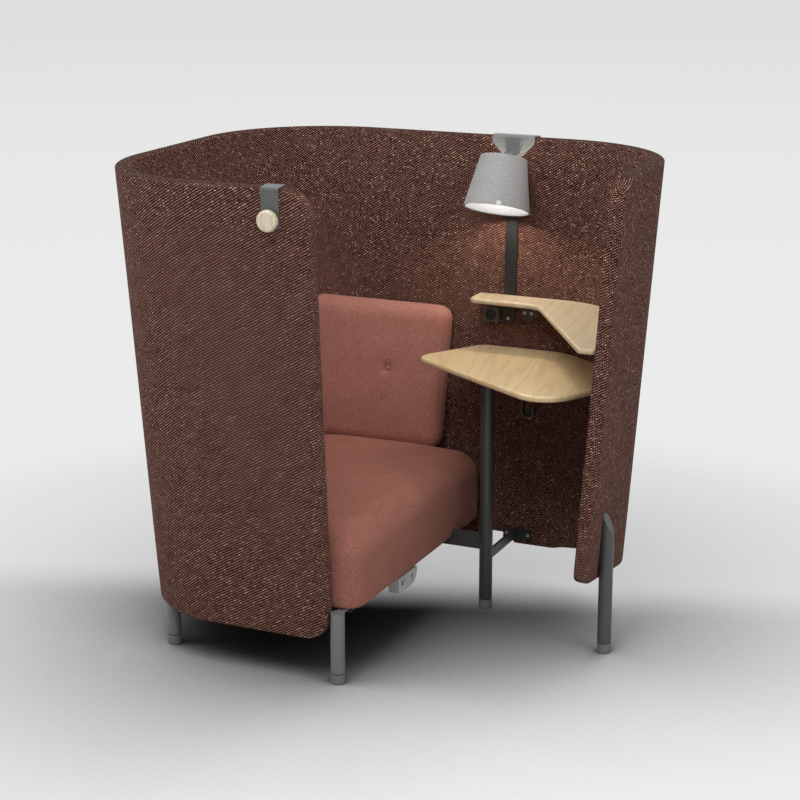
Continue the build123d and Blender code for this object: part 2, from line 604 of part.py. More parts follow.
# plate and stay between the table leg and the back wall
stay_plane = BACK.offset(WALL + SOFT_GAP)
with BuildPart() as wall_plate_back:
    with BuildSketch(stay_plane):
        with Locations((TABLE_LEG_X + STAY_SHIFT, slope_at(STAY_HEIGHT - STAY_DROP))):
            RectangleRounded(STAY_PLATE[0], STAY_PLATE[1], 3)
        with Locations(*((x, slope_at(z)) for x, z in STAY_SCREWS)):
            Circle(SCREW_HOLE / 2, mode=Mode.SUBTRACT)
    extrude(amount=STAY_PLATE[2])
export(wall_plate_back, "stay_plate")

with BuildPart() as stay_bar:
    with BuildSketch(Plane.YZ.offset(TABLE_LEG_X - STAY_BAR[1] / 2)):
        with Locations((CROSS_RAIL_Y, STAY_HEIGHT)):
            Rectangle(SCREEN_DEPTH, STAY_BAR[0], align=(Align.MIN, Align.CENTER))
    extrude(amount=STAY_BAR[1])
    with BuildSketch(Plane.XY):
        with Locations(LEG_TABLE):
            Circle(LEG_RADIUS)
    extrude(amount=FRAME_TOP, mode=Mode.SUBTRACT)
    with BuildSketch(stay_plane.offset(STAY_PLATE[2])):
        Rectangle(SCREEN_WIDTH, 3 * RIM_HEIGHT)
    extrude(amount=-SCREEN_DEPTH, mode=Mode.SUBTRACT)
export(stay_bar, "stay_bar")

# plate and bolts that hold the entry leg through the wall
with BuildPart() as entry_plate:
    with BuildSketch(ENTRY_BOLTS):
        RectangleRounded(ENTRY_PLATE[0], ENTRY_PLATE[1], 6)
        with GridLocations(0, ENTRY_BOLT_SPACING, 1, 2):
            Circle(ENTRY_BOLT_HOLE / 2, mode=Mode.SUBTRACT)
    extrude(amount=ENTRY_PLATE[2])
export(entry_plate, "entry_plate")

with BuildPart() as entry_bolts:
    with BuildSketch(ENTRY_BOLTS.offset(ENTRY_PLATE[2])):
        with GridLocations(0, ENTRY_BOLT_SPACING, 1, 2):
            Circle(ENTRY_BOLT / 2)
    extrude(amount=1.0 - ENTRY_BOLT_LENGTH - ENTRY_PLATE[2])
    with BuildSketch(ENTRY_BOLTS.offset(ENTRY_PLATE[2])):
        with GridLocations(0, ENTRY_BOLT_SPACING, 1, 2):
            Circle(ENTRY_BOLT_HEAD / 2)
    extrude(amount=ENTRY_BOLT_HEAD_HEIGHT)
    fillet(entry_bolts.faces().group_by(Axis((0, 0, 0), ENTRY_BOLTS.z_dir))[-1].edges(), 1.5)
export(entry_bolts, "entry_bolts")


# ================================================================ seat
SEAT_MIDDLE_X = (SEAT_LEFT + SEAT_RIGHT) / 2
CROWN_RADIUS = (SEAT_BACK - SEAT_FRONT) ** 2 / (8 * SEAT_CROWN)
HOLLOW_TOP = FRAME_TOP + BOARD_THICKNESS + SOFT_GAP
with BuildPart() as seat_cushion:
    with BuildSketch(Plane.XY.offset(SEAT_BOTTOM)) as outline:
        with Locations((SEAT_MIDDLE_X, (SEAT_FRONT + SEAT_BACK) / 2)):
            Rectangle(SEAT_RIGHT - SEAT_LEFT, SEAT_BACK - SEAT_FRONT)
        # the left corners follow the corners of the screen
        fillet(outline.vertices().group_by(Axis.X)[0], -AXIS_X - SEAT_LEFT)
        fillet(outline.vertices().group_by(Axis.X)[-1], SEAT_CORNER)
    extrude(amount=SEAT_TOP + SEAT_CROWN - SEAT_BOTTOM)
    with Locations((SEAT_MIDDLE_X, 0, SEAT_TOP - CROWN_RADIUS)):
        Sphere(CROWN_RADIUS, mode=Mode.INTERSECT)
    fillet(seat_cushion.faces().sort_by(Axis.Z)[-1].edges(), SEAT_ROLL)
    # hollow for the board and the frame, open at the hidden left side
    with BuildSketch(Plane.XY):
        with Locations((SEAT_RIGHT - SEAT_WALL, (SEAT_FRONT + SEAT_BACK) / 2)):
            Rectangle(SCREEN_WIDTH, SEAT_BACK - SEAT_FRONT - 2 * SEAT_WALL,
                      align=(Align.MAX, Align.CENTER))
        with Locations((-AXIS_X, 0)):
            Rectangle(SCREEN_WIDTH, SCREEN_DEPTH, align=(Align.MAX, Align.CENTER))
    extrude(amount=HOLLOW_TOP, mode=Mode.SUBTRACT)
    # notch over the rail that runs out to the table leg
    with BuildSketch(Plane.YZ.offset(SEAT_RIGHT - SEAT_WALL - SOFT_GAP)):
        with Locations((CROSS_RAIL_Y, 0)):
            Rectangle(RAIL_WIDTH + 4 * SOFT_GAP, FRAME_TOP + 2 * SOFT_GAP,
                      align=(Align.CENTER, Align.MIN))
    extrude(amount=2 * SEAT_WALL, mode=Mode.SUBTRACT)
export(seat_cushion, "seat_cushion")

with BuildPart() as seat_board:
    with BuildSketch(Plane.XY.offset(FRAME_TOP)) as board:
        with Locations((SEAT_RIGHT - SEAT_WALL - BOARD_GAP, (SEAT_FRONT + SEAT_BACK) / 2)):
            Rectangle(SEAT_RIGHT - SEAT_WALL - BOARD_GAP - SEAT_LEFT - BOARD_INSET,
                      SEAT_BACK - SEAT_FRONT - 2 * (SEAT_WALL + BOARD_GAP),
                      align=(Align.MAX, Align.CENTER))
        fillet(board.vertices().group_by(Axis.X)[0], -AXIS_X - SEAT_LEFT - BOARD_INSET - BOARD_GAP)
    extrude(amount=BOARD_THICKNESS)
export(seat_board, "seat_board")


# ================================================================ cushions
def cushion(name, plane, left, right, across):
    """Crowned cushion bedded on the seat, with a drawn-in button as its own node."""
    back = plane.offset(WALL + SOFT_GAP)
    bottom = slope_at(SEAT_TOP - CUSHION_BED, WALL)
    middle = (left + right) / 2
    crown = ((right - left) ** 2 + CUSHION_HEIGHT ** 2) / (8 * CUSHION_CROWN)
    crown_spot = back.from_local_coords((middle, bottom + CUSHION_HEIGHT / 2, CUSHION_THICKNESS - crown))
    tuft = (TUFT_RADIUS ** 2 + TUFT_DEPTH ** 2) / (2 * TUFT_DEPTH)
    button_up = bottom + (CUSHION_HEIGHT + CUSHION_BED) / 2
    tuft_spot = back.from_local_coords((across, button_up, CUSHION_THICKNESS - TUFT_DEPTH + tuft))
    with BuildPart() as body:
        with BuildSketch(back):
            with Locations((middle, bottom + CUSHION_HEIGHT / 2)):
                RectangleRounded(right - left, CUSHION_HEIGHT, CUSHION_RADIUS)
        extrude(amount=CUSHION_THICKNESS + CUSHION_CROWN)
        with Locations(crown_spot):
            Sphere(crown, mode=Mode.INTERSECT)
        facing = Axis(back.origin, back.z_dir)
        fillet(body.faces().sort_by(facing)[-1].edges(), CUSHION_ROLL)
        fillet(body.faces().sort_by(facing)[0].edges(), CUSHION_BACK_ROLL)
        with Locations(tuft_spot):
            Sphere(tuft, mode=Mode.SUBTRACT)
        fillet(body.edges().filter_by(GeomType.CIRCLE).filter_by(
            lambda e: abs(e.radius - TUFT_RADIUS) < TUFT_LIP), TUFT_LIP)
        # bedded on the crowned seat and against the curved wall
        with Locations((SEAT_MIDDLE_X, 0, SEAT_TOP - CROWN_RADIUS)):
            Sphere(CROWN_RADIUS + SOFT_GAP, mode=Mode.SUBTRACT)
        add(room(SOFT_GAP), mode=Mode.INTERSECT)
    export(body, name)
    with BuildPart() as button:
        with BuildSketch(back.offset(CUSHION_THICKNESS - TUFT_DEPTH + SOFT_GAP
                                     + BUTTON_DIAMETER ** 2 / (8 * tuft))):
            with Locations((across, button_up)):
                Circle(BUTTON_DIAMETER / 2)
        extrude(amount=BUTTON_HEIGHT)
        fillet(button.faces().sort_by(facing)[-1].edges(), BUTTON_ROUND)
    export(button, name + "_button")


side_left = -AXIS_X - SIDE_CUSHION_PAST
side_right = SEAT_RIGHT - SIDE_CUSHION_INSET
back_half = AXIS_Y + BACK_CUSHION_PAST
cushion("side_cushion", BACK, side_left, side_right, (side_left + side_right) / 2 + BUTTON_SHIFT)
cushion("back_cushion", LEFT, -back_half, back_half, 0.0)


# ================================================================ table and shelf
def angle_bracket(turn, reach, across, height):
    """Bent steel angle under a board, one leg along the leaning wall."""
    outward = Vector(-sin(radians(turn)), cos(radians(turn)), 0)
    along = Vector(cos(radians(turn)), sin(radians(turn)), 0)
    side = Plane(origin=along * across, x_dir=outward, z_dir=along)
    reaches = [inner_reach(reach, h) - SOFT_GAP for h in (height, height - ANGLE_STEEL, height - ANGLE_LEG)]
    with BuildPart() as angle:
        with BuildSketch(side):
            with BuildLine():
                Polyline((reaches[0], height), (reaches[0] - ANGLE_LEG, height),
                         (reaches[0] - ANGLE_LEG, height - ANGLE_STEEL),
                         (reaches[1] - ANGLE_STEEL, height - ANGLE_STEEL),
                         (reaches[2] - ANGLE_STEEL, height - ANGLE_LEG),
                         (reaches[2], height - ANGLE_LEG), close=True)
            make_face()
        extrude(amount=ANGLE_WIDTH / 2, both=True)
        with BuildSketch(Plane.XY.offset(height - ANGLE_STEEL)):
            with Locations(*board_screw_spots(turn, reach, across, height)):
                Circle(SCREW_HOLE / 2)
        extrude(amount=ANGLE_STEEL, mode=Mode.SUBTRACT)
        surface, spots = wall_screw_spots(turn, reach, across, height)
        with BuildSketch(surface):
            with Locations(*spots):
                Circle(SCREW_HOLE / 2)
        extrude(amount=ANGLE_STEEL + 1, both=True, mode=Mode.SUBTRACT)
    return angle.part


def screw(length):
    """Pan-head screw along +Z, the underside of its head at the origin."""
    with BuildPart() as body:
        with BuildSketch():
            Circle(SCREW_DIAMETER / 2)
        extrude(amount=length)
        with BuildSketch():
            Circle(SCREW_HEAD / 2)
        extrude(amount=-SCREW_HEAD_HEIGHT)
        fillet(body.faces().sort_by(Axis.Z)[0].edges(), 1)
    return body.part


def soften(board, radius):
    """Round the upper and lower edges of a wooden board."""
    level = board.faces().filter_by(Axis.Z).sort_by(Axis.Z)
    fillet(level[0].edges() + level[-1].edges(), radius)


table_back = inner_reach(SCREEN_DEPTH / 2, TABLE_UNDER) - WOOD_GAP
table_right = inner_reach(SCREEN_WIDTH / 2, TABLE_UNDER) - TABLE_SIDE_GAP
flange_grid = [Vector(LEG_TABLE) + Vector(x, y) * FLANGE_HOLE_SPACING / 2 for x in (-1, 1) for y in (-1, 1)]
hook_grid = [Vector(BAG_HOOK) + Vector(x * BAG_FLANGE / 3, 0) for x in (-1, 1)]
table_angles = [angle for angle in ANGLES if angle[3] == TABLE_UNDER]
shelf_angles = [angle for angle in ANGLES if angle[3] == SHELF_UNDER]

with BuildPart() as table_top:
    with BuildSketch(Plane.XY.offset(TABLE_UNDER)):
        with BuildLine():
            FilletPolyline((TABLE_LEG_X - TABLE_TIP[0], CROSS_RAIL_Y + TABLE_TIP[1]),
                           (TABLE_LEG_X - TABLE_LEFT, table_back),
                           (AXIS_X + TABLE_BACK_END, table_back),
                           (table_right, AXIS_Y + TABLE_SIDE_START),
                           (table_right - TABLE_NOSE[0], RIGHT_END_Y + TABLE_NOSE[1]),
                           (table_right - TABLE_FRONT[0], RIGHT_END_Y + TABLE_FRONT[1]),
                           radius=TABLE_CORNERS, close=True)
        make_face()
    extrude(amount=TABLE_THICKNESS)
    soften(table_top, TABLE_EDGE)
    add(room(WOOD_GAP), mode=Mode.INTERSECT)
    with BuildSketch(Plane.XY.offset(TABLE_UNDER)):
        with Locations(*flange_grid, *hook_grid,
                       *(spot for angle in table_angles for spot in board_screw_spots(*angle))):
            Circle(SCREW_PILOT / 2)
    extrude(amount=SCREW_GRIP + 0.5, mode=Mode.SUBTRACT)
export(table_top, "table_top")

with BuildPart() as table_flange:
    with BuildSketch(Plane.XY.offset(TABLE_UNDER - FLANGE_THICKNESS)):
        with Locations(LEG_TABLE):
            Circle(FLANGE_DIAMETER / 2)
        with Locations(*flange_grid):
            Circle(SCREW_HOLE / 2, mode=Mode.SUBTRACT)
    extrude(amount=FLANGE_THICKNESS)
export(table_flange, "table_flange")

shelf_back = inner_reach(SCREEN_DEPTH / 2, SHELF_UNDER) - WOOD_GAP
shelf_right = inner_reach(SCREEN_WIDTH / 2, SHELF_UNDER) - WOOD_GAP
with BuildPart() as shelf:
    with BuildSketch(Plane.XY.offset(SHELF_UNDER)):
        with BuildLine():
            FilletPolyline((LAMP_X - SHELF_LEFT, shelf_back), (shelf_right, shelf_back),
                           (shelf_right, RIGHT_END_Y + SHELF_END),
                           (shelf_right - SHELF_END_WIDTH, RIGHT_END_Y + SHELF_END),
                           (AXIS_X + SHELF_ELBOW[0], AXIS_Y + SHELF_ELBOW[1]),
                           (LAMP_X - SHELF_LEFT, AXIS_Y + SHELF_LEFT_DEPTH),
                           radius=(SHELF_CORNERS[0], shelf_right - AXIS_X, *SHELF_CORNERS[1:]),
                           close=True)
        make_face()
    extrude(amount=SHELF_THICKNESS)
    soften(shelf, SHELF_EDGE)
    with BuildSketch(Plane.XY.offset(SHELF_UNDER)):
        with Locations((STRAP_X, SCREEN_DEPTH / 2)):
            strap_depth = SCREEN_DEPTH / 2 - shelf_back + STRAP_STEEL + STRAP_NOTCH
            Rectangle(STRAP_WIDTH + 2 * STRAP_NOTCH, strap_depth, align=(Align.CENTER, Align.MAX))
    extrude(amount=SHELF_THICKNESS, mode=Mode.SUBTRACT)
    with BuildSketch(Plane.XY.offset(SHELF_UNDER)):
        with Locations(*(spot for angle in shelf_angles for spot in board_screw_spots(*angle))):
            Circle(SCREW_PILOT / 2)
    extrude(amount=SCREW_GRIP + 0.5, mode=Mode.SUBTRACT)
export(shelf, "shelf")

for name, angles in (("table_brackets", table_angles), ("shelf_brackets", shelf_angles)):
    with BuildPart() as brackets:
        for angle in angles:
            add(angle_bracket(*angle))
    export(brackets, name)

with BuildPart() as board_screws:
    for angle in ANGLES:
        for spot in board_screw_spots(*angle):
            with Locations((spot.X, spot.Y, angle[3] - ANGLE_STEEL)):
                add(screw(SCREW_GRIP + ANGLE_STEEL))
    for spot in flange_grid + hook_grid:
        with Locations((spot.X, spot.Y, TABLE_UNDER - FLANGE_THICKNESS)):
            add(screw(SCREW_GRIP + FLANGE_THICKNESS))
export(board_screws, "board_screws")

with BuildPart() as wall_screws:
    for surface, spots, steel in all_wall_screws():
        for spot in spots:
            head_spot = surface.offset(steel).from_local_coords((*spot, 0))
            add(Plane(origin=head_spot, x_dir=surface.x_dir, z_dir=-surface.z_dir)
                * screw(SCREW_GRIP + steel))
export(wall_screws, "wall_screws")

# ================================================================ lamp
LAMP_SIDE = Plane(origin=BACK.origin + Vector(LAMP_X, 0, 0), x_dir=BACK.z_dir, z_dir=(-1, 0, 0))
PIVOT = Vector(LAMP_X, PIVOT_Y, TONGUE_Z - PIVOT_DROP)
clip_mid = RIM_GAP + CLIP_STEEL / 2
half_clip = CLIP_WIDTH / 2
half_tongue = TONGUE_WIDTH / 2
ear_inner = KNUCKLE_WIDTH / 2 + EAR_GAP
ear_outer = ear_inner + EAR_THICKNESS
with BuildPart() as lamp_clip:
    add(strip(LAMP_SIDE, [(-clip_mid, -CLIP_DEPTH), (-clip_mid, clip_mid), (WALL + clip_mid, clip_mid),
                          (WALL + clip_mid, -CLIP_DEPTH)], CLIP_BEND, CLIP_STEEL, CLIP_WIDTH))
    # seen from the front the clip narrows toward its lower end
    with BuildSketch(BACK.offset(-WALL)) as front_view:
        with BuildLine():
            Polyline((LAMP_X - half_clip, WALL), (LAMP_X - half_clip, -CLIP_TAPER_START),
                     (LAMP_X - half_tongue, -CLIP_DEPTH), (LAMP_X + half_tongue, -CLIP_DEPTH),
                     (LAMP_X + half_clip, -CLIP_TAPER_START), (LAMP_X + half_clip, WALL), close=True)
        make_face()
        fillet(front_view.vertices().filter_by(lambda v: v.Z < RIM_HEIGHT - 10), CLIP_CORNER)
    extrude(amount=3 * WALL, mode=Mode.INTERSECT)
    # tongue that carries the shade
    with BuildSketch(Plane.XY.offset(TONGUE_Z - CLIP_STEEL / 2)):
        with Locations((LAMP_X, PIVOT_Y - KNUCKLE_RADIUS)):
            tongue_root = inner_reach(SCREEN_DEPTH / 2, TONGUE_Z) - RIM_GAP - CLIP_STEEL / 2
            Rectangle(TONGUE_WIDTH, tongue_root - PIVOT_Y + KNUCKLE_RADIUS, align=(Align.CENTER, Align.MIN))
    extrude(amount=CLIP_STEEL)
    # two ears with the holes of the pivot pin
    for side in (-1, 1):
        with BuildSketch(Plane.YZ.offset(LAMP_X + side * (ear_inner + EAR_THICKNESS / 2))):
            with Locations((PIVOT.Y, PIVOT.Z)):
                Circle(KNUCKLE_RADIUS)
                Rectangle(2 * KNUCKLE_RADIUS, PIVOT_DROP, align=(Align.CENTER, Align.MIN))
                Circle(PIVOT_DIAMETER / 2 + PIN_CLEARANCE, mode=Mode.SUBTRACT)
        extrude(amount=EAR_THICKNESS / 2, both=True)
export(lamp_clip, "lamp_clip")

with BuildPart() as lamp_pin:
    with BuildSketch(Plane.YZ.offset(LAMP_X - ear_outer)):
        with Locations((PIVOT.Y, PIVOT.Z)):
            Circle(PIVOT_DIAMETER / 2)
    extrude(amount=2 * ear_outer)
    for face in lamp_pin.faces().filter_by(Axis.X):
        with BuildSketch(Plane(face)):
            Circle(PIN_HEAD / 2)
        extrude(amount=PIN_HEAD_THICKNESS)
export(lamp_pin, "lamp_pin")

SHADE = Plane(origin=PIVOT, x_dir=(1, 0, 0), z_dir=(0, sin(radians(SHADE_TILT)), cos(radians(SHADE_TILT))))
SHADE_SECTION = Plane(origin=PIVOT, x_dir=SHADE.x_dir, z_dir=-SHADE.y_dir)
SHADE_AXIS = Axis(PIVOT, SHADE.z_dir)
shade_top = SHADE_TOP_DIAMETER / 2
shade_foot = SHADE_BOTTOM_DIAMETER / 2
shade_flare = (shade_foot - shade_top) / SHADE_HEIGHT


def shade_radius(level, layer):
    """Radius of a layer of the shade at a level along its axis."""
    return shade_top + (SHADE_RISE - level) * shade_flare - layer


def shade_layer(outer, inner, inset):
    """One conical layer of the shade between two depths under its surface."""
    top = SHADE_RISE - inset
    foot = SHADE_RISE - SHADE_HEIGHT + inset
    with BuildPart() as layer:
        with BuildSketch(SHADE_SECTION):
            with BuildLine():
                Polyline((shade_radius(top, outer), top), (shade_radius(foot, outer), foot),
                         (shade_radius(foot, inner), foot), (shade_radius(top, inner), top), close=True)
            make_face()
        revolve(axis=SHADE_AXIS)
    return layer


export(shade_layer(0, FELT, 0), "shade_felt")
export(shade_layer(FELT + LAYER_GAP, FELT + LAYER_GAP + LINER, 1), "shade_liner")

with BuildPart() as lamp_spider:
    ring = shade_radius(SPIDER_TOP, FELT + 2 * LAYER_GAP + LINER)
    with BuildSketch(SHADE.offset(SPIDER_TOP - SPIDER_STEEL)):
        Circle(ring)
        Circle(ring - SPIDER_STEEL, mode=Mode.SUBTRACT)
        with PolarLocations(0, 3, start_angle=90):
            Rectangle(ring - SPIDER_STEEL / 2, SPIDER_ARM, align=(Align.MIN, Align.CENTER))
    extrude(amount=SPIDER_STEEL)
    with BuildSketch(SHADE.offset(HUB_BOTTOM)):
        Circle(HUB_RADIUS)
    extrude(amount=HUB_TOP - HUB_BOTTOM)
    with BuildSketch(Plane(origin=PIVOT, x_dir=SHADE.y_dir, z_dir=(1, 0, 0))):
        Circle(KNUCKLE_RADIUS)
        with Locations((0, HUB_TOP)):
            Rectangle(2 * KNUCKLE_RADIUS, -HUB_TOP, align=(Align.CENTER, Align.MIN))
        Circle(PIVOT_DIAMETER / 2 + PIVOT_CLEARANCE, mode=Mode.SUBTRACT)
    extrude(amount=KNUCKLE_WIDTH / 2, both=True)
export(lamp_spider, "lamp_spider")

with BuildPart() as lamp_holder:
    with BuildSketch(SHADE.offset(HUB_BOTTOM)):
        Circle(HOLDER_DIAMETER / 2)
    extrude(amount=-HOLDER_HEIGHT)
    fillet(lamp_holder.edges().sort_by(SHADE_AXIS)[-1], HOLDER_ROUND)
export(lamp_holder, "lamp_holder")

with BuildPart() as lamp_bulb:
    with BuildSketch(SHADE.offset(HUB_BOTTOM - HOLDER_HEIGHT)):
        Circle(BULB_NECK / 2)
    extrude(amount=BULB_CENTRE - HUB_BOTTOM + HOLDER_HEIGHT)
    with Locations(SHADE.from_local_coords((0, 0, BULB_CENTRE))):
        Sphere(BULB_DIAMETER / 2)
export(lamp_bulb, "lamp_bulb")

with BuildPart() as shade_tab:
    lean = atan2(shade_flare, 1)
    turn = radians(TAB_TURN)
    level = SHADE_RISE - SHADE_HEIGHT + TAB_SIZE[1] / 2
    outward = SHADE.x_dir * sin(turn) - SHADE.y_dir * cos(turn)
    normal = outward * cos(lean) + SHADE.z_dir * sin(lean)
    spot = PIVOT + outward * shade_radius(level, 0) + SHADE.z_dir * level + normal * LAYER_GAP
    with BuildSketch(Plane(origin=spot, x_dir=SHADE.z_dir.cross(outward), z_dir=normal)):
        RectangleRounded(TAB_SIZE[0], TAB_SIZE[1], 2)
    extrude(amount=TAB_SIZE[2])
export(shade_tab, "shade_tab")

strap_length = (STRAP_TOP - STRAP_BOTTOM) / cos(LEAN_ANGLE)
strap_middle = slope_at((STRAP_TOP + STRAP_BOTTOM) / 2)
with BuildPart() as lamp_strap:
    with BuildSketch(BACK.offset(WALL + SOFT_GAP)):
        with Locations((STRAP_X, strap_middle)):
            RectangleRounded(STRAP_WIDTH, strap_length, 3)
    extrude(amount=STRAP_STEEL)
    fillet(lamp_strap.faces().sort_by(Axis(BACK.origin, BACK.z_dir))[-1].edges(), 1.5)
    with BuildSketch(BACK.offset(WALL)):
        with Locations(*((x, slope_at(z)) for x, z in STRAP_SCREWS)):
            Circle(SCREW_HOLE / 2)
    extrude(amount=2 * STRAP_STEEL, mode=Mode.SUBTRACT)
export(lamp_strap, "lamp_strap")

# ================================================================ socket box
with BuildPart() as socket_box:
    with BuildSketch(BACK.offset(WALL + SOFT_GAP)):
        with Locations((SOCKET_X, slope_at(SOCKET_HEIGHT))):
            RectangleRounded(SOCKET_SIZE[0], SOCKET_SIZE[1], SOCKET_CORNER)
    extrude(amount=SOCKET_SIZE[2])
    front_face = socket_box.faces().sort_by(Axis(BACK.origin, BACK.z_dir))[-1]
    fillet(front_face.edges(), 1.5)
    with BuildSketch(BACK.offset(WALL + SOFT_GAP + SOCKET_SIZE[2])):
        with Locations((SOCKET_X, slope_at(SOCKET_HEIGHT))):
            Circle(SOCKET_RECESS / 2)
    extrude(amount=-SOCKET_RECESS_DEPTH, mode=Mode.SUBTRACT)
export(socket_box, "socket_box")

with BuildPart() as socket_insert:
    with BuildSketch(BACK.offset(WALL + SOFT_GAP + SOCKET_SIZE[2] - SOCKET_RECESS_DEPTH)):
        with Locations((SOCKET_X, slope_at(SOCKET_HEIGHT))):
            Circle(SOCKET_RECESS / 2 - LAYER_GAP)
            with GridLocations(SOCKET_PIN_SPACING, 0, 2, 1):
                Circle(SOCKET_PIN_HOLE / 2, mode=Mode.SUBTRACT)
    extrude(amount=SOCKET_INSERT)
export(socket_insert, "socket_insert")

# ================================================================ power unit
power_left = RIGHT_RAIL_X + half_rail + POWER_GAP
power_top = SEAT_BOTTOM - SOFT_GAP
power_under = power_top - POWER_SIZE[2]
power_back = POWER_FRONT_Y + POWER_SIZE[1]
inlet = (POWER_FRONT_Y + POWER_RECESS_Y, (power_top + power_under) / 2)
with BuildPart() as power_unit:
    with BuildSketch(Plane.YZ.offset(power_left)):
        with BuildLine():
            FilletPolyline((POWER_FRONT_Y, power_under), (power_back, power_under), (power_back, power_top),
                           (POWER_FRONT_Y, power_top), radius=(3, POWER_BULGE, 3, 3), close=True)
        make_face()
    extrude(amount=POWER_SIZE[0])
    fillet(power_unit.faces().sort_by(Axis.X)[-1].edges(), 1.5)
    with BuildSketch(Plane.YZ.offset(power_left + POWER_SIZE[0])):
        with Locations(inlet):
            RectangleRounded(POWER_RECESS[0], POWER_RECESS[1], 5)
    extrude(amount=-POWER_RECESS[2], mode=Mode.SUBTRACT)
    with BuildSketch(Plane.YZ.offset(power_left + POWER_SIZE[0] - POWER_RECESS[2])):
        with Locations(inlet):
            with PolarLocations(POWER_PIN_HOLE, 3, start_angle=90):
                Circle(POWER_PIN_HOLE / 2)
    extrude(amount=-2 * POWER_RECESS[2], mode=Mode.SUBTRACT)
export(power_unit, "power_unit")

with BuildPart() as power_angle:
    rail_under = FRAME_TOP - RAIL_HEIGHT
    with BuildSketch(Plane.XZ.offset(-(POWER_FRONT_Y + power_back) / 2)):
        with BuildLine():
            Polyline((power_left, power_under), (power_left, rail_under),
                     (power_left - POWER_ANGLE[1], rail_under),
                     (power_left - POWER_ANGLE[1], rail_under - POWER_ANGLE[2]),
                     (power_left - POWER_ANGLE[2], rail_under - POWER_ANGLE[2]),
                     (power_left - POWER_ANGLE[2], power_under), close=True)
        make_face()
    extrude(amount=POWER_ANGLE[0] / 2, both=True)
export(power_angle, "power_angle")

# ================================================================ hooks
COAT_SIDE = Plane(origin=FRONT.origin + Vector(COAT_X, 0, 0), x_dir=FRONT.z_dir, z_dir=(1, 0, 0))
coat_mid = RIM_GAP + COAT_STEEL / 2
with BuildPart() as coat_hook:
    add(strip(COAT_SIDE, [(-coat_mid, -COAT_OUTSIDE), (-coat_mid, coat_mid), (WALL + coat_mid, coat_mid),
                          (WALL + coat_mid, -COAT_INSIDE)], COAT_BEND, COAT_STEEL, COAT_WIDTH))
export(coat_hook, "coat_hook")

with BuildPart() as coat_knob:
    knob_plane = FRONT.offset(-RIM_GAP - COAT_STEEL)
    with BuildSketch(knob_plane):
        with Locations((-COAT_X, -KNOB_DROP)):
            Circle(KNOB_NECK / 2)
    extrude(amount=-KNOB_NECK_LENGTH)
    with BuildSketch(knob_plane.offset(-KNOB_NECK_LENGTH)):
        with Locations((-COAT_X, -KNOB_DROP)):
            Circle(KNOB_DIAMETER / 2)
    extrude(amount=-KNOB_THICKNESS)
    fillet(coat_knob.edges().filter_by(GeomType.CIRCLE).filter_by(
        lambda e: abs(e.radius - KNOB_DIAMETER / 2) < 1e-3), KNOB_EDGE)
export(coat_knob, "coat_knob")

BAG_SIDE = Plane(origin=(*BAG_HOOK, TABLE_UNDER - FLANGE_THICKNESS), x_dir=(1, 0, 0), z_dir=(0, -1, 0))
with BuildPart() as bag_hook:
    add(strip(BAG_SIDE, [(0, 0), (0, -BAG_DROP), (BAG_REACH, -BAG_DROP), (BAG_REACH, BAG_LIP - BAG_DROP)],
              BAG_BEND, BAG_STEEL, BAG_WIDTH))
    with BuildSketch(Plane.XY.offset(TABLE_UNDER - FLANGE_THICKNESS)):
        with Locations(BAG_HOOK):
            RectangleRounded(BAG_FLANGE, BAG_WIDTH, 3)
        with Locations(*hook_grid):
            Circle(SCREW_HOLE / 2, mode=Mode.SUBTRACT)
    extrude(amount=FLANGE_THICKNESS)
export(bag_hook, "bag_hook")
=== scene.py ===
"""Looks of the acoustic high back lounge chair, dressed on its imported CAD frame.

Lengths in the classes are millimetres, as in the CAD; meshes are written in metres.
"""
import logging
import math
from dataclasses import dataclass
from enum import Enum

import bmesh
import bpy
import numpy as np
from numpy.typing import NDArray
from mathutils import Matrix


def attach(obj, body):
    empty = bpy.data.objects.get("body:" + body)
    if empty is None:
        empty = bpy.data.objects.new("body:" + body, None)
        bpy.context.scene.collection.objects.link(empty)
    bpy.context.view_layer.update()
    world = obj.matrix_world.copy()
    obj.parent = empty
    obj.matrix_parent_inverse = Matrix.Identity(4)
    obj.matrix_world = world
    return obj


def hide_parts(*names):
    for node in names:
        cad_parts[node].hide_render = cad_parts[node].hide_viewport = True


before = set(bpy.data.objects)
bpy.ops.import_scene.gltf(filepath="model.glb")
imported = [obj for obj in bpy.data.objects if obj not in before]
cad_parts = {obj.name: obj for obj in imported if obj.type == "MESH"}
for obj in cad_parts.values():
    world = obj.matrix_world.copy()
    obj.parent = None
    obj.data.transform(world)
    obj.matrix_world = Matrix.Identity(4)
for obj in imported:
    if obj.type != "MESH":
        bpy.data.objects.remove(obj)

Array = NDArray[np.float64]
Thing, Tree, Node, Socket = bpy.types.Object, bpy.types.NodeTree, bpy.types.Node, bpy.types.NodeSocket
log = logging.getLogger("chair")
MM = 0.001
LEAN = math.radians(4.0)


# ---------------------------------------------------------------- meshes
def quads(rows: int, columns: int, around: bool = False) -> NDArray[np.int64]:
    """Corner indices of the quads of a grid, row after row.

    Args:
        rows: points in the first direction.
        columns: points in the second direction.
        around: joins the last column to the first.

    Returns:
        One row of four indices for each quad.
    """
    row, here = np.indices((rows - 1, columns if around else columns - 1))
    row, after = row * columns, (here + 1) % columns
    return np.stack((row + here, row + after, row + columns + after, row + columns + here)).reshape(4, -1).T


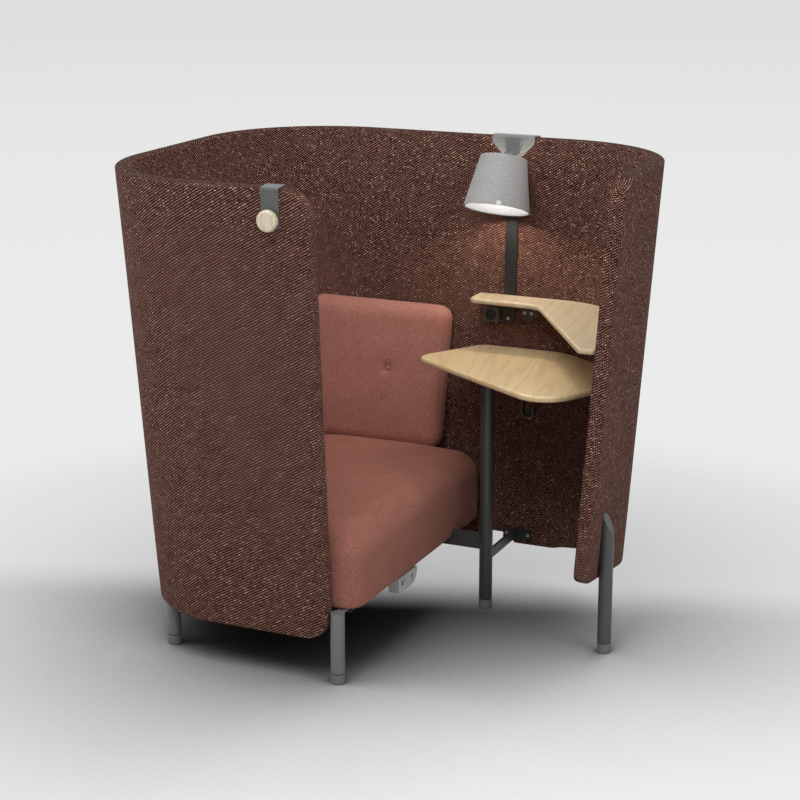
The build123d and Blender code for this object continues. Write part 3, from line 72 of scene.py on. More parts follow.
def piece(name: str, points: Array, faces: NDArray[np.int64], uv: Array | None = None, merge: float = 1e-6,
          caps: tuple[list[int], ...] = (), smooth: bool = True) -> Thing:
    """Make an object from points in millimetres.

    Args:
        name: name of the object.
        points: one row of x, y, z for each point.
        faces: one row of corner indices for each quad.
        uv: one row of u, v in metres for each point.
        merge: distance in metres under which points become one.
        caps: flat faces of many corners that close an open form.
        smooth: shades the faces smoothly.

    Returns:
        The object, with its normals outward.
    """
    mesh = bpy.data.meshes.new(name)
    mesh.from_pydata((points * MM).tolist(), [], faces.tolist() + list(caps))
    if uv is not None:
        layer = mesh.uv_layers.new(name="weave")
        corner = np.empty(len(mesh.loops), np.int32)
        mesh.loops.foreach_get("vertex_index", corner)
        layer.data.foreach_set("uv", uv[corner].astype(np.float32).ravel())
    work = bmesh.new()
    work.from_mesh(mesh)
    bmesh.ops.remove_doubles(work, verts=work.verts, dist=merge)
    bmesh.ops.dissolve_degenerate(work, edges=work.edges, dist=1e-7)
    bmesh.ops.recalc_face_normals(work, faces=work.faces)
    work.to_mesh(mesh)
    work.free()
    mesh.polygons.foreach_set("use_smooth", np.full(len(mesh.polygons), smooth))
    made = bpy.data.objects.new(name, mesh)
    bpy.context.scene.collection.objects.link(made)
    return made


def smooth_step(value: Array) -> Array:
    """Rise from 0 to 1 as 3t^2 - 2t^3 over t from 0 to 1."""
    t = np.clip(value, 0.0, 1.0)
    return t * t * (3.0 - 2.0 * t)


def drawn_back(radius: float, along: Array) -> Array:
    """How far a rounded corner lies behind its edge, at a distance along from its end."""
    rest = np.clip(radius - along, 0, radius)
    return radius - np.sqrt(radius ** 2 - rest ** 2)


def lathe(rings: Array, count: int) -> tuple[Array, Array]:
    """Grid of the rings' values against even turns about an axis: the value and the angle."""
    value, angle = np.meshgrid(rings, np.linspace(0, 2 * math.pi, count, endpoint=False), indexing="ij")
    return value, angle


# ---------------------------------------------------------------- nodes
def linear(colour: str) -> tuple[float, float, float, float]:
    """Linear colour of an sRGB hex value."""
    parts = [int(colour[i:i + 2], 16) / 255.0 for i in (1, 3, 5)]
    red, green, blue = (c / 12.92 if c <= 0.04045 else ((c + 0.055) / 1.055) ** 2.4 for c in parts)
    return red, green, blue, 1.0


def connect(tree: Tree, made: Node, inputs: dict) -> None:
    """Give a node's sockets their values, or the sockets that feed them."""
    for key, value in inputs.items():
        if isinstance(value, Socket):
            tree.links.new(value, made.inputs[key])
        else:
            made.inputs[key].default_value = value


def node(tree: Tree, kind: str, inputs: dict | None = None, **settings: object) -> Node:
    """Add a node with its settings, socket values and links.

    Args:
        tree: node tree of the material or world.
        kind: Blender's name of the node type.
        inputs: socket name or number to a value, or to the socket that feeds it.
        settings: properties of the node.

    Returns:
        The new node.
    """
    made = tree.nodes.new(kind)
    for key, value in settings.items():
        setattr(made, key, value)
    connect(tree, made, inputs or {})
    return made


def calculate(tree: Tree, operation: str, *values: Socket | float) -> Socket:
    """Result of a sum on numbers."""
    return node(tree, "ShaderNodeMath", dict(enumerate(values)), operation=operation).outputs[0]


def vector(tree: Tree, operation: str, *values: Socket | float | tuple[float, ...]) -> Socket:
    """Result of a sum on vectors; SCALE takes its factor second."""
    inputs = {0: values[0], "Scale": values[1]} if operation == "SCALE" else dict(enumerate(values))
    made = node(tree, "ShaderNodeVectorMath", inputs, operation=operation)
    return made.outputs["Value" if operation in ("DOT_PRODUCT", "LENGTH") else "Vector"]


def noise(tree: Tree, place: Socket, scale: float, detail: float, roughness: float = 0.5) -> Socket:
    """Soft noise from 0 to 1, with scale cycles in a metre."""
    inputs = {"Vector": place, "Scale": scale, "Detail": detail, "Roughness": roughness}
    return node(tree, "ShaderNodeTexNoise", inputs).outputs[0]


def remap(tree: Tree, value: Socket, low: float, high: float, start: float = 0.0, end: float = 1.0,
          curve: str = "LINEAR") -> Socket:
    """Spread a value's range, start to end, over low to high, and hold it there."""
    inputs = {"Value": value, "From Min": start, "From Max": end, "To Min": low, "To Max": high}
    return node(tree, "ShaderNodeMapRange", inputs, interpolation_type=curve).outputs[0]


def ramp(tree: Tree, factor: Socket, stops: list[tuple[float, str]]) -> Socket:
    """Colour ramp over hex colours."""
    made = node(tree, "ShaderNodeValToRGB", {"Fac": factor})
    while len(made.color_ramp.elements) < len(stops):
        made.color_ramp.elements.new(0.5)
    for element, (place, colour) in zip(made.color_ramp.elements, stops):
        element.position = place
        element.color = linear(colour)
    return made.outputs["Color"]


def bump(tree: Tree, shader: Node, height: Socket, depth_mm: float, strength: float) -> None:
    """Raise the surface by a height pattern of the given depth."""
    made = node(tree, "ShaderNodeBump", {"Height": height, "Distance": depth_mm * MM, "Strength": strength})
    connect(tree, shader, {"Normal": made.outputs["Normal"]})


def directly_seen(tree: Tree) -> Socket:
    """One for rays of the camera, of reflections and through glass, nought for those that only light."""
    rays = node(tree, "ShaderNodeLightPath").outputs
    some = calculate(tree, "MAXIMUM", rays["Is Camera Ray"], rays["Is Glossy Ray"])
    return calculate(tree, "MAXIMUM", some, rays["Is Transmission Ray"])


# ---------------------------------------------------------------- finishes
@dataclass(frozen=True)
class Surface:
    """A named finish, built as one node material."""

    name: str

    def build(self) -> bpy.types.Material:
        """Empty node material with its surface shader, which the finish then shades."""
        material = bpy.data.materials.new(self.name)
        material.use_nodes = True
        tree = material.node_tree
        tree.nodes.clear()
        shader = node(tree, "ShaderNodeBsdfPrincipled")
        shown = self.shade(tree, shader, node(tree, "ShaderNodeTexCoord").outputs["Object"])
        node(tree, "ShaderNodeOutputMaterial", {"Surface": shown or shader.outputs[0]})
        return material

    def shade(self, tree: Tree, shader: Node, place: Socket) -> Socket | None:
        """Set the shader up over the place on the object, in metres; may return another surface."""
        raise NotImplementedError


@dataclass(frozen=True)
class TwillUpholstery(Surface):
    """Steep twill woven from dark and pale flecked wool yarns: fine diagonal ribs with pale floats."""

    name: str = "woven_wool_twill"
    rib_mm: float = 6.9          # real ribs are about 5.5 mm apart; drawn coarser so that they show
    rib_turn: float = 120.0      # direction across the ribs, from the run of the wall
    float_mm: float = 5.9        # spacing of the second set of diagonals, which parts the floats
    float_turn: float = 56.0
    # partly the weave's dark ground, partly painted shade between the yarns
    groove: str = "#1c100d"
    dark: str = "#6f463b"
    middle: str = "#976859"
    warm: str = "#ac7e6e"
    pale: str = "#e9c2ae"
    painted_rim_shade: float = 0.5        # painted shade: the rim's upward face is darkened by this factor, against the light from above

    def shade(self, tree: Tree, shader: Node, place: Socket) -> None:
        """Weave on the piece's own UV map, in metres: u along the wall, v up it."""
        uv = node(tree, "ShaderNodeUVMap", uv_map="weave").outputs[0]
        # yarns are never quite straight
        drift = node(tree, "ShaderNodeTexNoise", {"Vector": uv, "Scale": 70.0, "Detail": 2.0})
        nudge = vector(tree, "MULTIPLY", drift.outputs["Color"], (0.0013, 0.0013, 0.0))
        moved = vector(tree, "ADD", uv, nudge)
        numbers, rounds = [], []
        for pitch, turn in ((self.rib_mm, math.radians(self.rib_turn)),
                            (self.float_mm, math.radians(self.float_turn))):
            step = (math.cos(turn) / (pitch * MM), math.sin(turn) / (pitch * MM), 0.0)
            count = vector(tree, "DOT_PRODUCT", moved, step)
            numbers.append(calculate(tree, "FLOOR", count))
            # a yarn is round: high in its middle, low in the groove beside it
            angle = calculate(tree, "MULTIPLY", calculate(tree, "FRACT", count), math.pi)
            rounds.append(calculate(tree, "SINE", angle))
        key = node(tree, "ShaderNodeCombineXYZ", dict(enumerate(numbers))).outputs[0]
        fleck = node(tree, "ShaderNodeTexWhiteNoise", {"Vector": key}, noise_dimensions="2D")
        yarn = ramp(tree, fleck.outputs["Value"], [(0.0, self.dark), (0.2, self.middle), (0.6, self.warm),
                                                   (0.88, self.warm), (1.0, self.pale)])
        height = calculate(tree, "MULTIPLY", *rounds)
        # low places between the yarns take the groove colour: the dark ground of the weave, deepened by
        # painted shade
        colour = node(tree, "ShaderNodeMix", {0: remap(tree, height, 0.0, 1.0, 0.4, 0.82),
                                              6: linear(self.groove), 7: yarn}, data_type="RGBA").outputs[2]
        # slow changes of dye over the cloth
        tone = remap(tree, noise(tree, uv, 9.0, 3.0), 0.93, 1.06)
        # painted shade: near the rim and over it the cloth darkens toward the rim factor
        up = node(tree, "ShaderNodeSeparateXYZ", {0: uv}).outputs[1]
        rim_shade = remap(tree, up, 1.0, self.painted_rim_shade, -0.008, 0.004)
        final = vector(tree, "SCALE", colour, calculate(tree, "MULTIPLY", tone, rim_shade))
        connect(tree, shader, {"Base Color": final, "Roughness": 0.95, "Specular IOR Level": 0.1})
        bump(tree, shader, height, 0.55, 0.8)


@dataclass(frozen=True)
class FeltedWool(Surface):
    """Milled wool cloth or pressed felt: a fine fibrous surface with flecks, no visible weave."""

    dark: str
    middle: str
    pale: str
    fleck_mm: float = 3.0        # clumps of fibre, drawn coarser than the real 2 mm so that they show
    fleck_mix: float = 0.9
    sheen: float = 0.3
    sheen_tint: str = "#d8a898"

    def shade(self, tree: Tree, shader: Node, place: Socket) -> None:
        """Two sizes of fibre noise for the colour, the finer one for the relief."""
        fleck = noise(tree, place, 1.0 / (self.fleck_mm * MM), 3.0, 0.65)
        both = calculate(tree, "MULTIPLY_ADD", noise(tree, place, 14.0, 3.0), 0.14, fleck)
        middle, reach = 0.57, 0.2 / self.fleck_mix
        spread = remap(tree, both, 0.0, 1.0, middle - reach, middle + reach)
        colour = ramp(tree, spread, [(0.0, self.dark), (0.5, self.middle), (1.0, self.pale)])
        connect(tree, shader, {"Base Color": colour, "Roughness": 0.95, "Specular IOR Level": 0.15,
                               "Sheen Weight": self.sheen, "Sheen Roughness": 0.45,
                               "Sheen Tint": linear(self.sheen_tint)})
        bump(tree, shader, fleck, 0.5, 0.55)


@dataclass(frozen=True)
class PowderCoat(Surface):
    """Fine-textured polyester powder baked on steel: satin, with a slight orange peel."""

    colour: str
    roughness: float = 0.42
    grain_mm: float = 1.1

    def shade(self, tree: Tree, shader: Node, place: Socket) -> None:
        """Orange peel in the relief, and rubbed patches in the gloss."""
        peel = noise(tree, place, 1.0 / (self.grain_mm * MM), 2.0)
        rubbed = noise(tree, place, 18.0, 4.0)
        gloss = remap(tree, rubbed, self.roughness - 0.06, self.roughness + 0.08, 0.3, 0.7)
        colour = vector(tree, "SCALE", linear(self.colour)[:3], remap(tree, rubbed, 0.9, 1.08))
        connect(tree, shader, {"Base Color": colour, "Roughness": gloss})
        bump(tree, shader, peel, 0.06, 0.6)


@dataclass(frozen=True)
class ZincPlate(Surface):
    """Zinc-plated steel screws: a soft metal shine with a cloudy film."""

    name: str = "zinc_plated_steel"
    colour: str = "#b9bbb8"

    def shade(self, tree: Tree, shader: Node, place: Socket) -> None:
        """Metal with clouds in its roughness."""
        gloss = remap(tree, noise(tree, place, 260.0, 3.0), 0.28, 0.5)
        connect(tree, shader, {"Base Color": linear(self.colour), "Roughness": gloss, "Metallic": 1.0})


@dataclass(frozen=True)
class LacqueredMaple(Surface):
    """Pale maple under matt lacquer: long soft grain, darker streaks, tiny pores and a satin surface."""

    turn: float                  # degrees of the grain from +X, seen from above
    pale: str
    middle: str
    streak: str
    ring_mm: float = 46.0

    def shade(self, tree: Tree, shader: Node, place: Socket) -> None:
        """Rings cut lengthways: bands across the grain, bent by noise that is stretched along it."""
        turn = (0, 0, -math.radians(self.turn))
        turned = node(tree, "ShaderNodeMapping", {"Vector": place, "Rotation": turn}).outputs[0]
        # noise that is ten, and thirty times as long along the grain as across it
        long_way, fibre = (node(tree, "ShaderNodeMapping", {"Vector": turned, "Scale": scale}).outputs[0]
                           for scale in ((0.9, 9.0, 9.0), (14.0, 420.0, 420.0)))
        across = node(tree, "ShaderNodeSeparateXYZ", {0: turned}).outputs[1]
        rings = calculate(tree, "MULTIPLY", across, 1.0 / (self.ring_mm * MM))
        bent = calculate(tree, "MULTIPLY_ADD", noise(tree, long_way, 1.6, 4.0), 9.0, rings)
        band = calculate(tree, "PINGPONG", bent, 1.0)
        pores = noise(tree, fibre, 1.0, 3.0)
        share = remap(tree, calculate(tree, "MULTIPLY_ADD", pores, 0.5, band), 0.0, 1.0, 0.1, 1.35)
        colour = ramp(tree, share, [(0.0, self.streak), (0.3, self.middle), (0.75, self.pale),
                                    (1.0, self.middle)])
        connect(tree, shader, {"Base Color": colour, "Roughness": remap(tree, pores, 0.36, 0.52),
                               "Coat Weight": 0.3, "Coat Roughness": 0.28})
        bump(tree, shader, pores, 0.08, 0.5)


@dataclass(frozen=True)
class MouldedPlastic(Surface):
    """Injection-moulded plastic with a fine spark-eroded texture, or a smooth opal bulb."""

    colour: str
    roughness: float = 0.5
    glow: float = 0.0            # of a lit bulb

    def shade(self, tree: Tree, shader: Node, place: Socket) -> None:
        """Fine grain in the relief, and smudges in the gloss."""
        gloss = remap(tree, noise(tree, place, 30.0, 3.0), self.roughness - 0.08, self.roughness + 0.08)
        connect(tree, shader, {"Base Color": linear(self.colour), "Roughness": gloss,
                               "Emission Color": linear("#fff3e2"), "Emission Strength": self.glow})
        bump(tree, shader, noise(tree, place, 1400.0, 1.0), 0.04, 0.4)


@dataclass(frozen=True)
class PaperFloor(Surface):
    """Matt pale paper with painted shade under the chair, running on into a plain backdrop."""

    name: str = "matt_paper_floor"
    tone: str = "#e2e2e2"
    reach: float = 24.0          # metres over which the plain paper's tones run
    toward_back: tuple[float, float, float] = (-0.29, 0.91, 0.0)

    def shade(self, tree: Tree, shader: Node, place: Socket) -> Socket:
        """Lit paper with painted shade near the chair, and plain paper beyond it, where it is seen directly.
        """
        # painted shade: the paper's colour darkens by ambient occlusion where the chair stands close above
        # it
        open_sky = node(tree, "ShaderNodeAmbientOcclusion", {"Distance": 1.2}, samples=12).outputs["AO"]
        shaded_paper = vector(tree, "SCALE", linear(self.tone)[:3], calculate(tree, "POWER", open_sky, 1.8))
        connect(tree, shader, {"Base Color": shaded_paper, "Roughness": 0.9, "Specular IOR Level": 0.1})
        # away from the chair the camera sees plain paper: paler near, a little greyer far off
        away = vector(tree, "LENGTH", place)
        far = remap(tree, away, 0.0, 1.0, 0.0, self.reach)
        paper = ramp(tree, far, [(0.12, "#ebebeb"), (0.3, "#e9e9e9"), (0.9, "#dedede")])
        # painted light: behind the chair the plain tone comes in sooner, lightening the chair's shadow on
        # the paper there
        behind = vector(tree, "DOT_PRODUCT", place, self.toward_back)
        lightened_behind = remap(tree, behind, 0.0, 0.55, 0.07, 0.39, "SMOOTHSTEP")
        plain = calculate(tree, "MAXIMUM", remap(tree, away, 0.0, 1.0, 1.15, 2.3, "SMOOTHSTEP"), lightened_behind)
        share = calculate(tree, "MULTIPLY", plain, directly_seen(tree))
        glow = node(tree, "ShaderNodeEmission", {"Color": paper}).outputs[0]
        return node(tree, "ShaderNodeMixShader", {0: share, 1: shader.outputs[0], 2: glow}).outputs[0]


class Finish(Enum):
    """The finishes of the chair, named for the real material."""

    SCREEN = TwillUpholstery()
    SEAT = FeltedWool("milled_wool_cloth", "#78483e", "#905d50", "#ab7b6d")
    CUSHION = FeltedWool("milled_wool_cushion", "#8b574c", "#a66f62", "#c29082")
    FELT = FeltedWool("pressed_wool_felt", "#868685", "#9e9e9d", "#b9b9b8", 3.4, 0.7, 0.1, "#ffffff")
    FRAME = PowderCoat("powder_coated_steel_grey", "#6f6f70")
    NIGHT = PowderCoat("powder_coated_steel_black", "#232221")
    # painted shade: the frame's grey steel, darker for the shade the entry leg stands in
    ENTRY = PowderCoat("powder_coated_steel_entry_shade", "#4a4a4b")
    PLATE = PowderCoat("powder_coated_steel_light", "#6e6f6f", roughness=0.3)
    SOCKET = PowderCoat("powder_coated_steel_bezel", "#4d4a48", roughness=0.45)
    HOOK = PowderCoat("powder_coated_steel_hook", "#575856", roughness=0.36)
    DARK = PowderCoat("powder_coated_steel_dark", "#3a3938")
    ZINC = ZincPlate()
    TABLE = LacqueredMaple("lacquered_maple_table", 101.0, "#d8bf94", "#d0b589", "#c5a779")
    SHELF = LacqueredMaple("lacquered_maple_shelf", 96.0, "#c8b596", "#c1ac8b", "#b6a07c")
    KNOB = LacqueredMaple("turned_maple_knob", 70.0, "#d8ccb4", "#cdbfa4", "#b9a888", ring_mm=9.0)
    PLY = LacqueredMaple("birch_plywood", 0.0, "#c8a878", "#b8925f", "#94704a")
    TAB = MouldedPlastic("pale_polypropylene", "#cfcecb")
    BLACK = MouldedPlastic("black_polyamide", "#1d1d1e")
    GREY = MouldedPlastic("pale_grey_abs", "#b4b3b0", roughness=0.45)
    LINER = MouldedPlastic("white_styrene_liner", "#52565c", roughness=0.6)   # toned down: the bulb is close
    BULB = MouldedPlastic("lit_opal_bulb", "#fffdfb", roughness=0.3, glow=105.0)
    FLOOR = PaperFloor()

    def material(self) -> bpy.types.Material:
        """The finish's material, built once."""
        return bpy.data.materials.get(self.value.name) or self.value.build()


def paint(made: Thing, finish: Finish) -> None:
    """Give an object one finish."""
    made.data.materials.clear()
    made.data.materials.append(finish.material())


def dress(made: Thing, finish: Finish, body: str, slot: str, *stands_for: str) -> Thing:
    """Paint a new piece, hang it on its body and hide the CAD nodes that it stands for.

    Args:
        made: the piece.
        finish: its finish.
        body: CAD body that it moves with.
        slot: not used.
        stands_for: CAD nodes that it replaces.

    Returns:
        The same piece.
    """
    paint(made, finish)
    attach(made, body)
    if stands_for:
        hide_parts(*stands_for)
    log.info("piece %s: %d faces", made.name, len(made.data.polygons))
    return made


# ---------------------------------------------------------------- the room between the walls
@dataclass
class Walls:
    """Plan and lean of the screen, shared by all that lies against it."""

    half_width: float = 712.0    # to the outer face at the rim
    half_depth: float = 592.0
    rim: float = 1380.0          # height
    corner: float = 390.0        # outer radius at the rim
    wall: float = 44.0           # thickness
    gap: float = 0.5             # left free inside the walls

    @property
    def axis_x(self) -> float:
        """Middle of the right corner curves."""
        return self.half_width - self.corner

    @property
    def axis_y(self) -> float:
        """Middle of the rear corner curves."""
        return self.half_depth - self.corner

    def allowed(self, height: Array) -> Array:
        """Radius that the room has around the corners' middles at a height."""
        return self.corner - math.tan(LEAN) * (self.rim - height) - self.wall / math.cos(LEAN) - self.gap

    def keep_inside(self, points: Array) -> Array:
        """Push points back into the room.

        A point's distance from the rectangle of the corners' middles is capped at the room's
        radius at its height, along the same direction.

        Args:
            points: rows of x, y, z.

        Returns:
            The points, moved in plan only.
        """
        core = np.stack((np.clip(points[:, 0], -self.axis_x, self.axis_x),
                         np.clip(points[:, 1], -self.axis_y, self.axis_y)), axis=1)
        away = points[:, :2] - core
        reach = np.linalg.norm(away, axis=1)
        share = np.minimum(1.0, self.allowed(points[:, 2]) / np.maximum(reach, 1e-6))
        moved = points.copy()
        moved[:, :2] = core + away * share[:, None]
        return moved


# ---------------------------------------------------------------- screen
@dataclass
class Screen:
    """The upholstered C-shaped screen, as one padded sheet with a soft closed edge."""

    walls: Walls
    slope: float = 1260.0 / math.cos(LEAN)   # from the rim down to the lower edge
    wing_end: float = 32.0       # x of the front wall's free end
    right_end: float = -85.0     # y of the right wall's free end
    top_round: float = 80.0
    wing_foot_round: float = 70.0
    right_foot_round: float = 26.0
    edge: float = 10.0           # padded edge
    seam_in: float = 12.5        # sewn seam, from the edge
    seam_depth: float = 0.6
    seam_width: float = 1.1
    notch: tuple[float, float, float, float] = (150.0, 34.0, 60.0, 30.0)   # x, flat, reach and height
    rise: tuple[float, float, float] = (0.11, 0.144, 500.0)   # slopes along x and y, and the y of its start
    slot: tuple[float, float, float] = (28.0, 21.0, 421.0)    # entry leg's: y, radius and top
    slot_floor: float = 626.5    # x
    step: float = 13.0           # between the mesh's points

    def stations(self) -> tuple[Array, Array, Array, Array]:
        """Break points of the plan: length so far, middle x and y, and direction."""
        ax, ay, turn = self.walls.axis_x, self.walls.axis_y, self.walls.corner * math.pi / 2
        x = np.array([self.wing_end, -ax, -ax, -ax, -ax, ax, ax, ax])
        y = np.array([-ay, -ay, -ay, ay, ay, ay, ay, self.right_end])
        angle = np.radians([270, 270, 180, 180, 90, 90, 0, 0])
        run = [self.wing_end + ax, turn, 2 * ay, turn, 2 * ax, turn, ay - self.right_end]
        return np.concatenate(([0.0], np.cumsum(run))), x, y, angle

    def place(self, s: Array, h: Array, depth: Array) -> Array:
        """Point of the wall from its plan length s, distance h down the slope and depth inward.

        The point is the corner's or wall's middle line plus the outward direction times the
        corner radius, less h sin(lean) and depth cos(lean); its height is the rim less
        h cos(lean), plus depth sin(lean).

        Args:
            s: length along the rim's outer edge.
            h: distance below the rim.
            depth: distance inside the outer face.

        Returns:
            Rows of x, y, z.
        """
        at, x, y, angle = self.stations()
        turn = np.interp(s, at, angle)
        reach = self.walls.corner - h * math.sin(LEAN) - depth * math.cos(LEAN)
        return np.stack((np.interp(s, at, x) + np.cos(turn) * reach,
                         np.interp(s, at, y) + np.sin(turn) * reach,
                         self.walls.rim - h * math.cos(LEAN) + depth * math.sin(LEAN)), axis=-1)

    def lower_edge(self, s: Array) -> Array:
        """Distance from the rim down to the lower edge: level, with the notch and the rise."""
        middle = self.place(s, np.full_like(s, self.slope), np.full_like(s, self.walls.wall / 2))
        at = self.stations()[0]
        at_x, flat, reach, height = self.notch
        on_back = (s > at[4]) & (s < at[5])
        away = np.abs(middle[:, 0] - at_x)
        lift = np.where(on_back, height * (1.0 - smooth_step((away - flat) / (reach - flat))), 0.0)
        along_x, along_y, start = self.rise
        rise = along_x * (middle[:, 0] - self.walls.axis_x) - along_y * (middle[:, 1] - start)
        lift += np.where(s > at[5], np.maximum(rise, 0.0) * smooth_step((s - at[5]) / 60.0), 0.0)
        return self.slope - lift

    def edge_distance(self, s: Array, h: Array, low: Array) -> tuple[Array, Array, Array]:
        """Distance from the padded edge, round the rounded corners of the free ends.

        Between two edges at distances a and b from a point, a corner of radius r leaves
        r - |(r - a, r - b)|; elsewhere the nearer edge counts.

        Args:
            s: length along the rim.
            h: distance below the rim.
            low: lower edge's distance below the rim.

        Returns:
            The distance, and the direction to the edge along s and h.
        """
        length = self.stations()[0][-1]
        below, above = h, low - h
        near = np.minimum(below, above)
        to_s, to_h = np.zeros_like(near), np.where(below < above, -1.0, 1.0)
        for along, way, top, foot in ((s, -1.0, self.top_round, self.wing_foot_round),
                                      (length - s, 1.0, self.top_round, self.right_foot_round)):
            for across, down, radius in ((below, -1.0, top), (above, 1.0, foot)):
                reach = np.maximum(np.hypot(radius - along, radius - across), 1e-6)
                curve = (along < radius) & (across < radius)
                end = ~curve & (along < near)
                to_s = np.where(curve, way * (radius - along) / reach, np.where(end, way, to_s))
                to_h = np.where(curve, down * (radius - across) / reach, np.where(end, 0.0, to_h))
                near = np.where(curve, radius - reach, np.where(end, along, near))
        return np.maximum(near, 0.0), to_s, to_h

    def half_thickness(self, d: Array) -> Array:
        """Half the wall's thickness at a distance d from the edge e: 22 (1 - (1 - d/e)^3)^(1/3)."""
        share = 1.0 - np.clip(d / self.edge, 0, 1)
        return self.walls.wall / 2 * np.cbrt(1.0 - share ** 3)

    def cloth_past(self, d: Array) -> Array:
        """Cloth that the rounded edge takes beyond the flat distance, so that the weave isn't stretched."""
        at = np.linspace(0.0, 1.0, 400) ** 3 * self.edge
        run = np.hypot(np.diff(at), np.diff(self.half_thickness(at)))
        past = np.concatenate((np.cumsum(run[::-1])[::-1], [0.0])) - (self.edge - at)
        return np.interp(d, at, past)

    def columns(self) -> Array:
        """Places along the wall, closer at the free ends and the notch."""
        at = self.stations()[0]
        length = at[-1]
        ends = self.top_round * (1 - np.cos(np.radians(np.linspace(0, 90, 19))))
        close = np.concatenate((ends, self.rows()[1:]))
        notch = at[4] + self.walls.axis_x + self.notch[0] + np.linspace(-70, 70, 36)
        open_run = np.arange(90.0, length - 90.0, self.step)
        open_run = open_run[(open_run < notch[0] - 4) | (open_run > notch[-1] + 4)]
        return np.unique(np.round(np.concatenate((close, open_run, notch, length - close)), 3))

    def rows(self) -> Array:
        """Distances from the upper or lower edge where the padding rounds over."""
        seam = self.seam_in + np.array([-2.2, -1.1, 0.0, 1.1, 2.4])
        return np.concatenate(([0.0, 0.06, 0.3, 0.8, 1.7, 3.0, 4.8, 6.8, 8.8], seam, [19.0, 26.0]))

    def build(self) -> Thing:
        """Both faces of the padded sheet, closed along the edge, with the slot of the entry leg.

        The faces lie half_thickness from the middle, less a narrow dip at the seam, and share a
        slow swell of under a millimetre.

        Returns:
            The upholstery, with a UV map in metres.
        """
        s = self.columns()
        low, top = self.lower_edge(s), np.zeros_like(s)
        # the rounded corners of the free ends
        for along, foot in ((s, self.wing_foot_round), (s[-1] - s, self.right_foot_round)):
            top = np.maximum(top, drawn_back(self.top_round, along))
            low = low - drawn_back(foot, along)
        near = self.rows()[:, None]
        upper, lower = top + near, low - near[::-1]
        share = np.linspace(0, 1, int(self.slope / self.step))[1:-1, None]
        h = np.concatenate((upper, upper[-1] + (lower[0] - upper[-1]) * share, lower))
        along = np.broadcast_to(s, h.shape)
        d, to_s, to_h = self.edge_distance(along, h, np.broadcast_to(self.lower_edge(s), h.shape))
        d[0], d[-1], d[:, 0], d[:, -1] = 0.0, 0.0, 0.0, 0.0
        seam = self.seam_depth * np.exp(-((d - self.seam_in) / self.seam_width) ** 2)
        half = self.half_thickness(d) - seam
        swell = 0.7 * np.sin(along / 210.0 + 1.3) * np.sin(h / 260.0 + 0.4) * smooth_step(d / 120.0)
        depth = self.walls.wall / 2 - swell
        cloth_s, cloth_h = along + to_s * self.cloth_past(d), h + to_h * self.cloth_past(d)
        points = np.stack([self.place(along, h, depth + side * half) for side in (-1, 1)]).reshape(-1, 3)
        uv = np.stack([np.stack((side * cloth_s, -cloth_h), -1) for side in (-1, 1)]).reshape(-1, 2)
        faces = quads(*h.shape)
        made = piece("screen_upholstery", points, np.concatenate((faces, faces[:, ::-1] + h.size)), uv * MM)
        self.cut_leg_slot(made)
        return made

    def cut_leg_slot(self, made: Thing) -> None:
        """Sink the arched slot of the entry leg into the right wall's outer face."""
        middle, radius, top = self.slot
        turn, below, outside = np.linspace(0, math.pi, 25), 100.0, 760.0
        arch = np.stack((middle + radius * np.cos(turn), top - radius + radius * np.sin(turn)), 1)
        profile = np.concatenate(([[middle + radius, below]], arch, [[middle - radius, below]]))
        count = len(profile)
        points = np.column_stack((np.repeat((self.slot_floor, outside), count), np.tile(profile, (2, 1))))
        caps = (list(range(count))[::-1], list(range(count, 2 * count)))
        cutter = piece("slot_cutter", points, quads(2, count, around=True), points[:, 1:] * MM, caps=caps,
                       smooth=False)
        cut = made.modifiers.new("slot", "BOOLEAN")
        cut.operation, cut.solver, cut.object = "DIFFERENCE", "EXACT", cutter
        shown = bpy.data.meshes.new_from_object(made.evaluated_get(bpy.context.evaluated_depsgraph_get()))
        made.modifiers.clear()
        old, made.data = made.data, shown
        bpy.data.meshes.remove(old)
        bpy.data.objects.remove(cutter)


# ---------------------------------------------------------------- seat and cushions
@dataclass
class Outline:
    """Rounded rectangle with two radii, walked round at even steps."""

    left: float
    right: float
    low: float
    high: float
    left_round: float
    right_round: float
    across: int = 40             # points on each long side
    turn: int = 22               # points on each corner
    least: float = 4.0           # radius that the inner rings keep

    def ring(self, inset: float) -> Array:
        """Closed line of points at a distance inside the outline.

        Args:
            inset: distance inside; past the middle the ring folds to a line.

        Returns:
            Rows of the two plane coordinates.
        """
        x0, x1 = self.left + inset, self.right - inset
        y0, y1 = self.low + inset, self.high - inset
        if x1 < x0:
            x0 = x1 = (x0 + x1) / 2
        if y1 < y0:
            y0 = y1 = (y0 + y1) / 2
        limit = min(x1 - x0, y1 - y0) / 2
        a, b = (min(max(radius - inset, self.least), limit)
                for radius in (self.left_round, self.right_round))
        angle = np.linspace(0, math.pi / 2, self.turn)
        even = np.linspace(0, 1, self.across + 2)[1:-1]
        corners = ((x1 - b, y0 + b, b), (x1 - b, y1 - b, b), (x0 + a, y1 - a, a), (x0 + a, y0 + a, a))
        parts = [np.stack((x + radius * np.cos(angle + turn), y + radius * np.sin(angle + turn)), 1)
                 for (x, y, radius), turn in zip(corners, np.radians([-90, 0, 90, 180]))]
        line = []
        for part, after in zip(parts, parts[1:] + parts[:1]):
            line += [part, part[-1] + (after[0] - part[-1]) * even[:, None]]
        return np.concatenate(line)


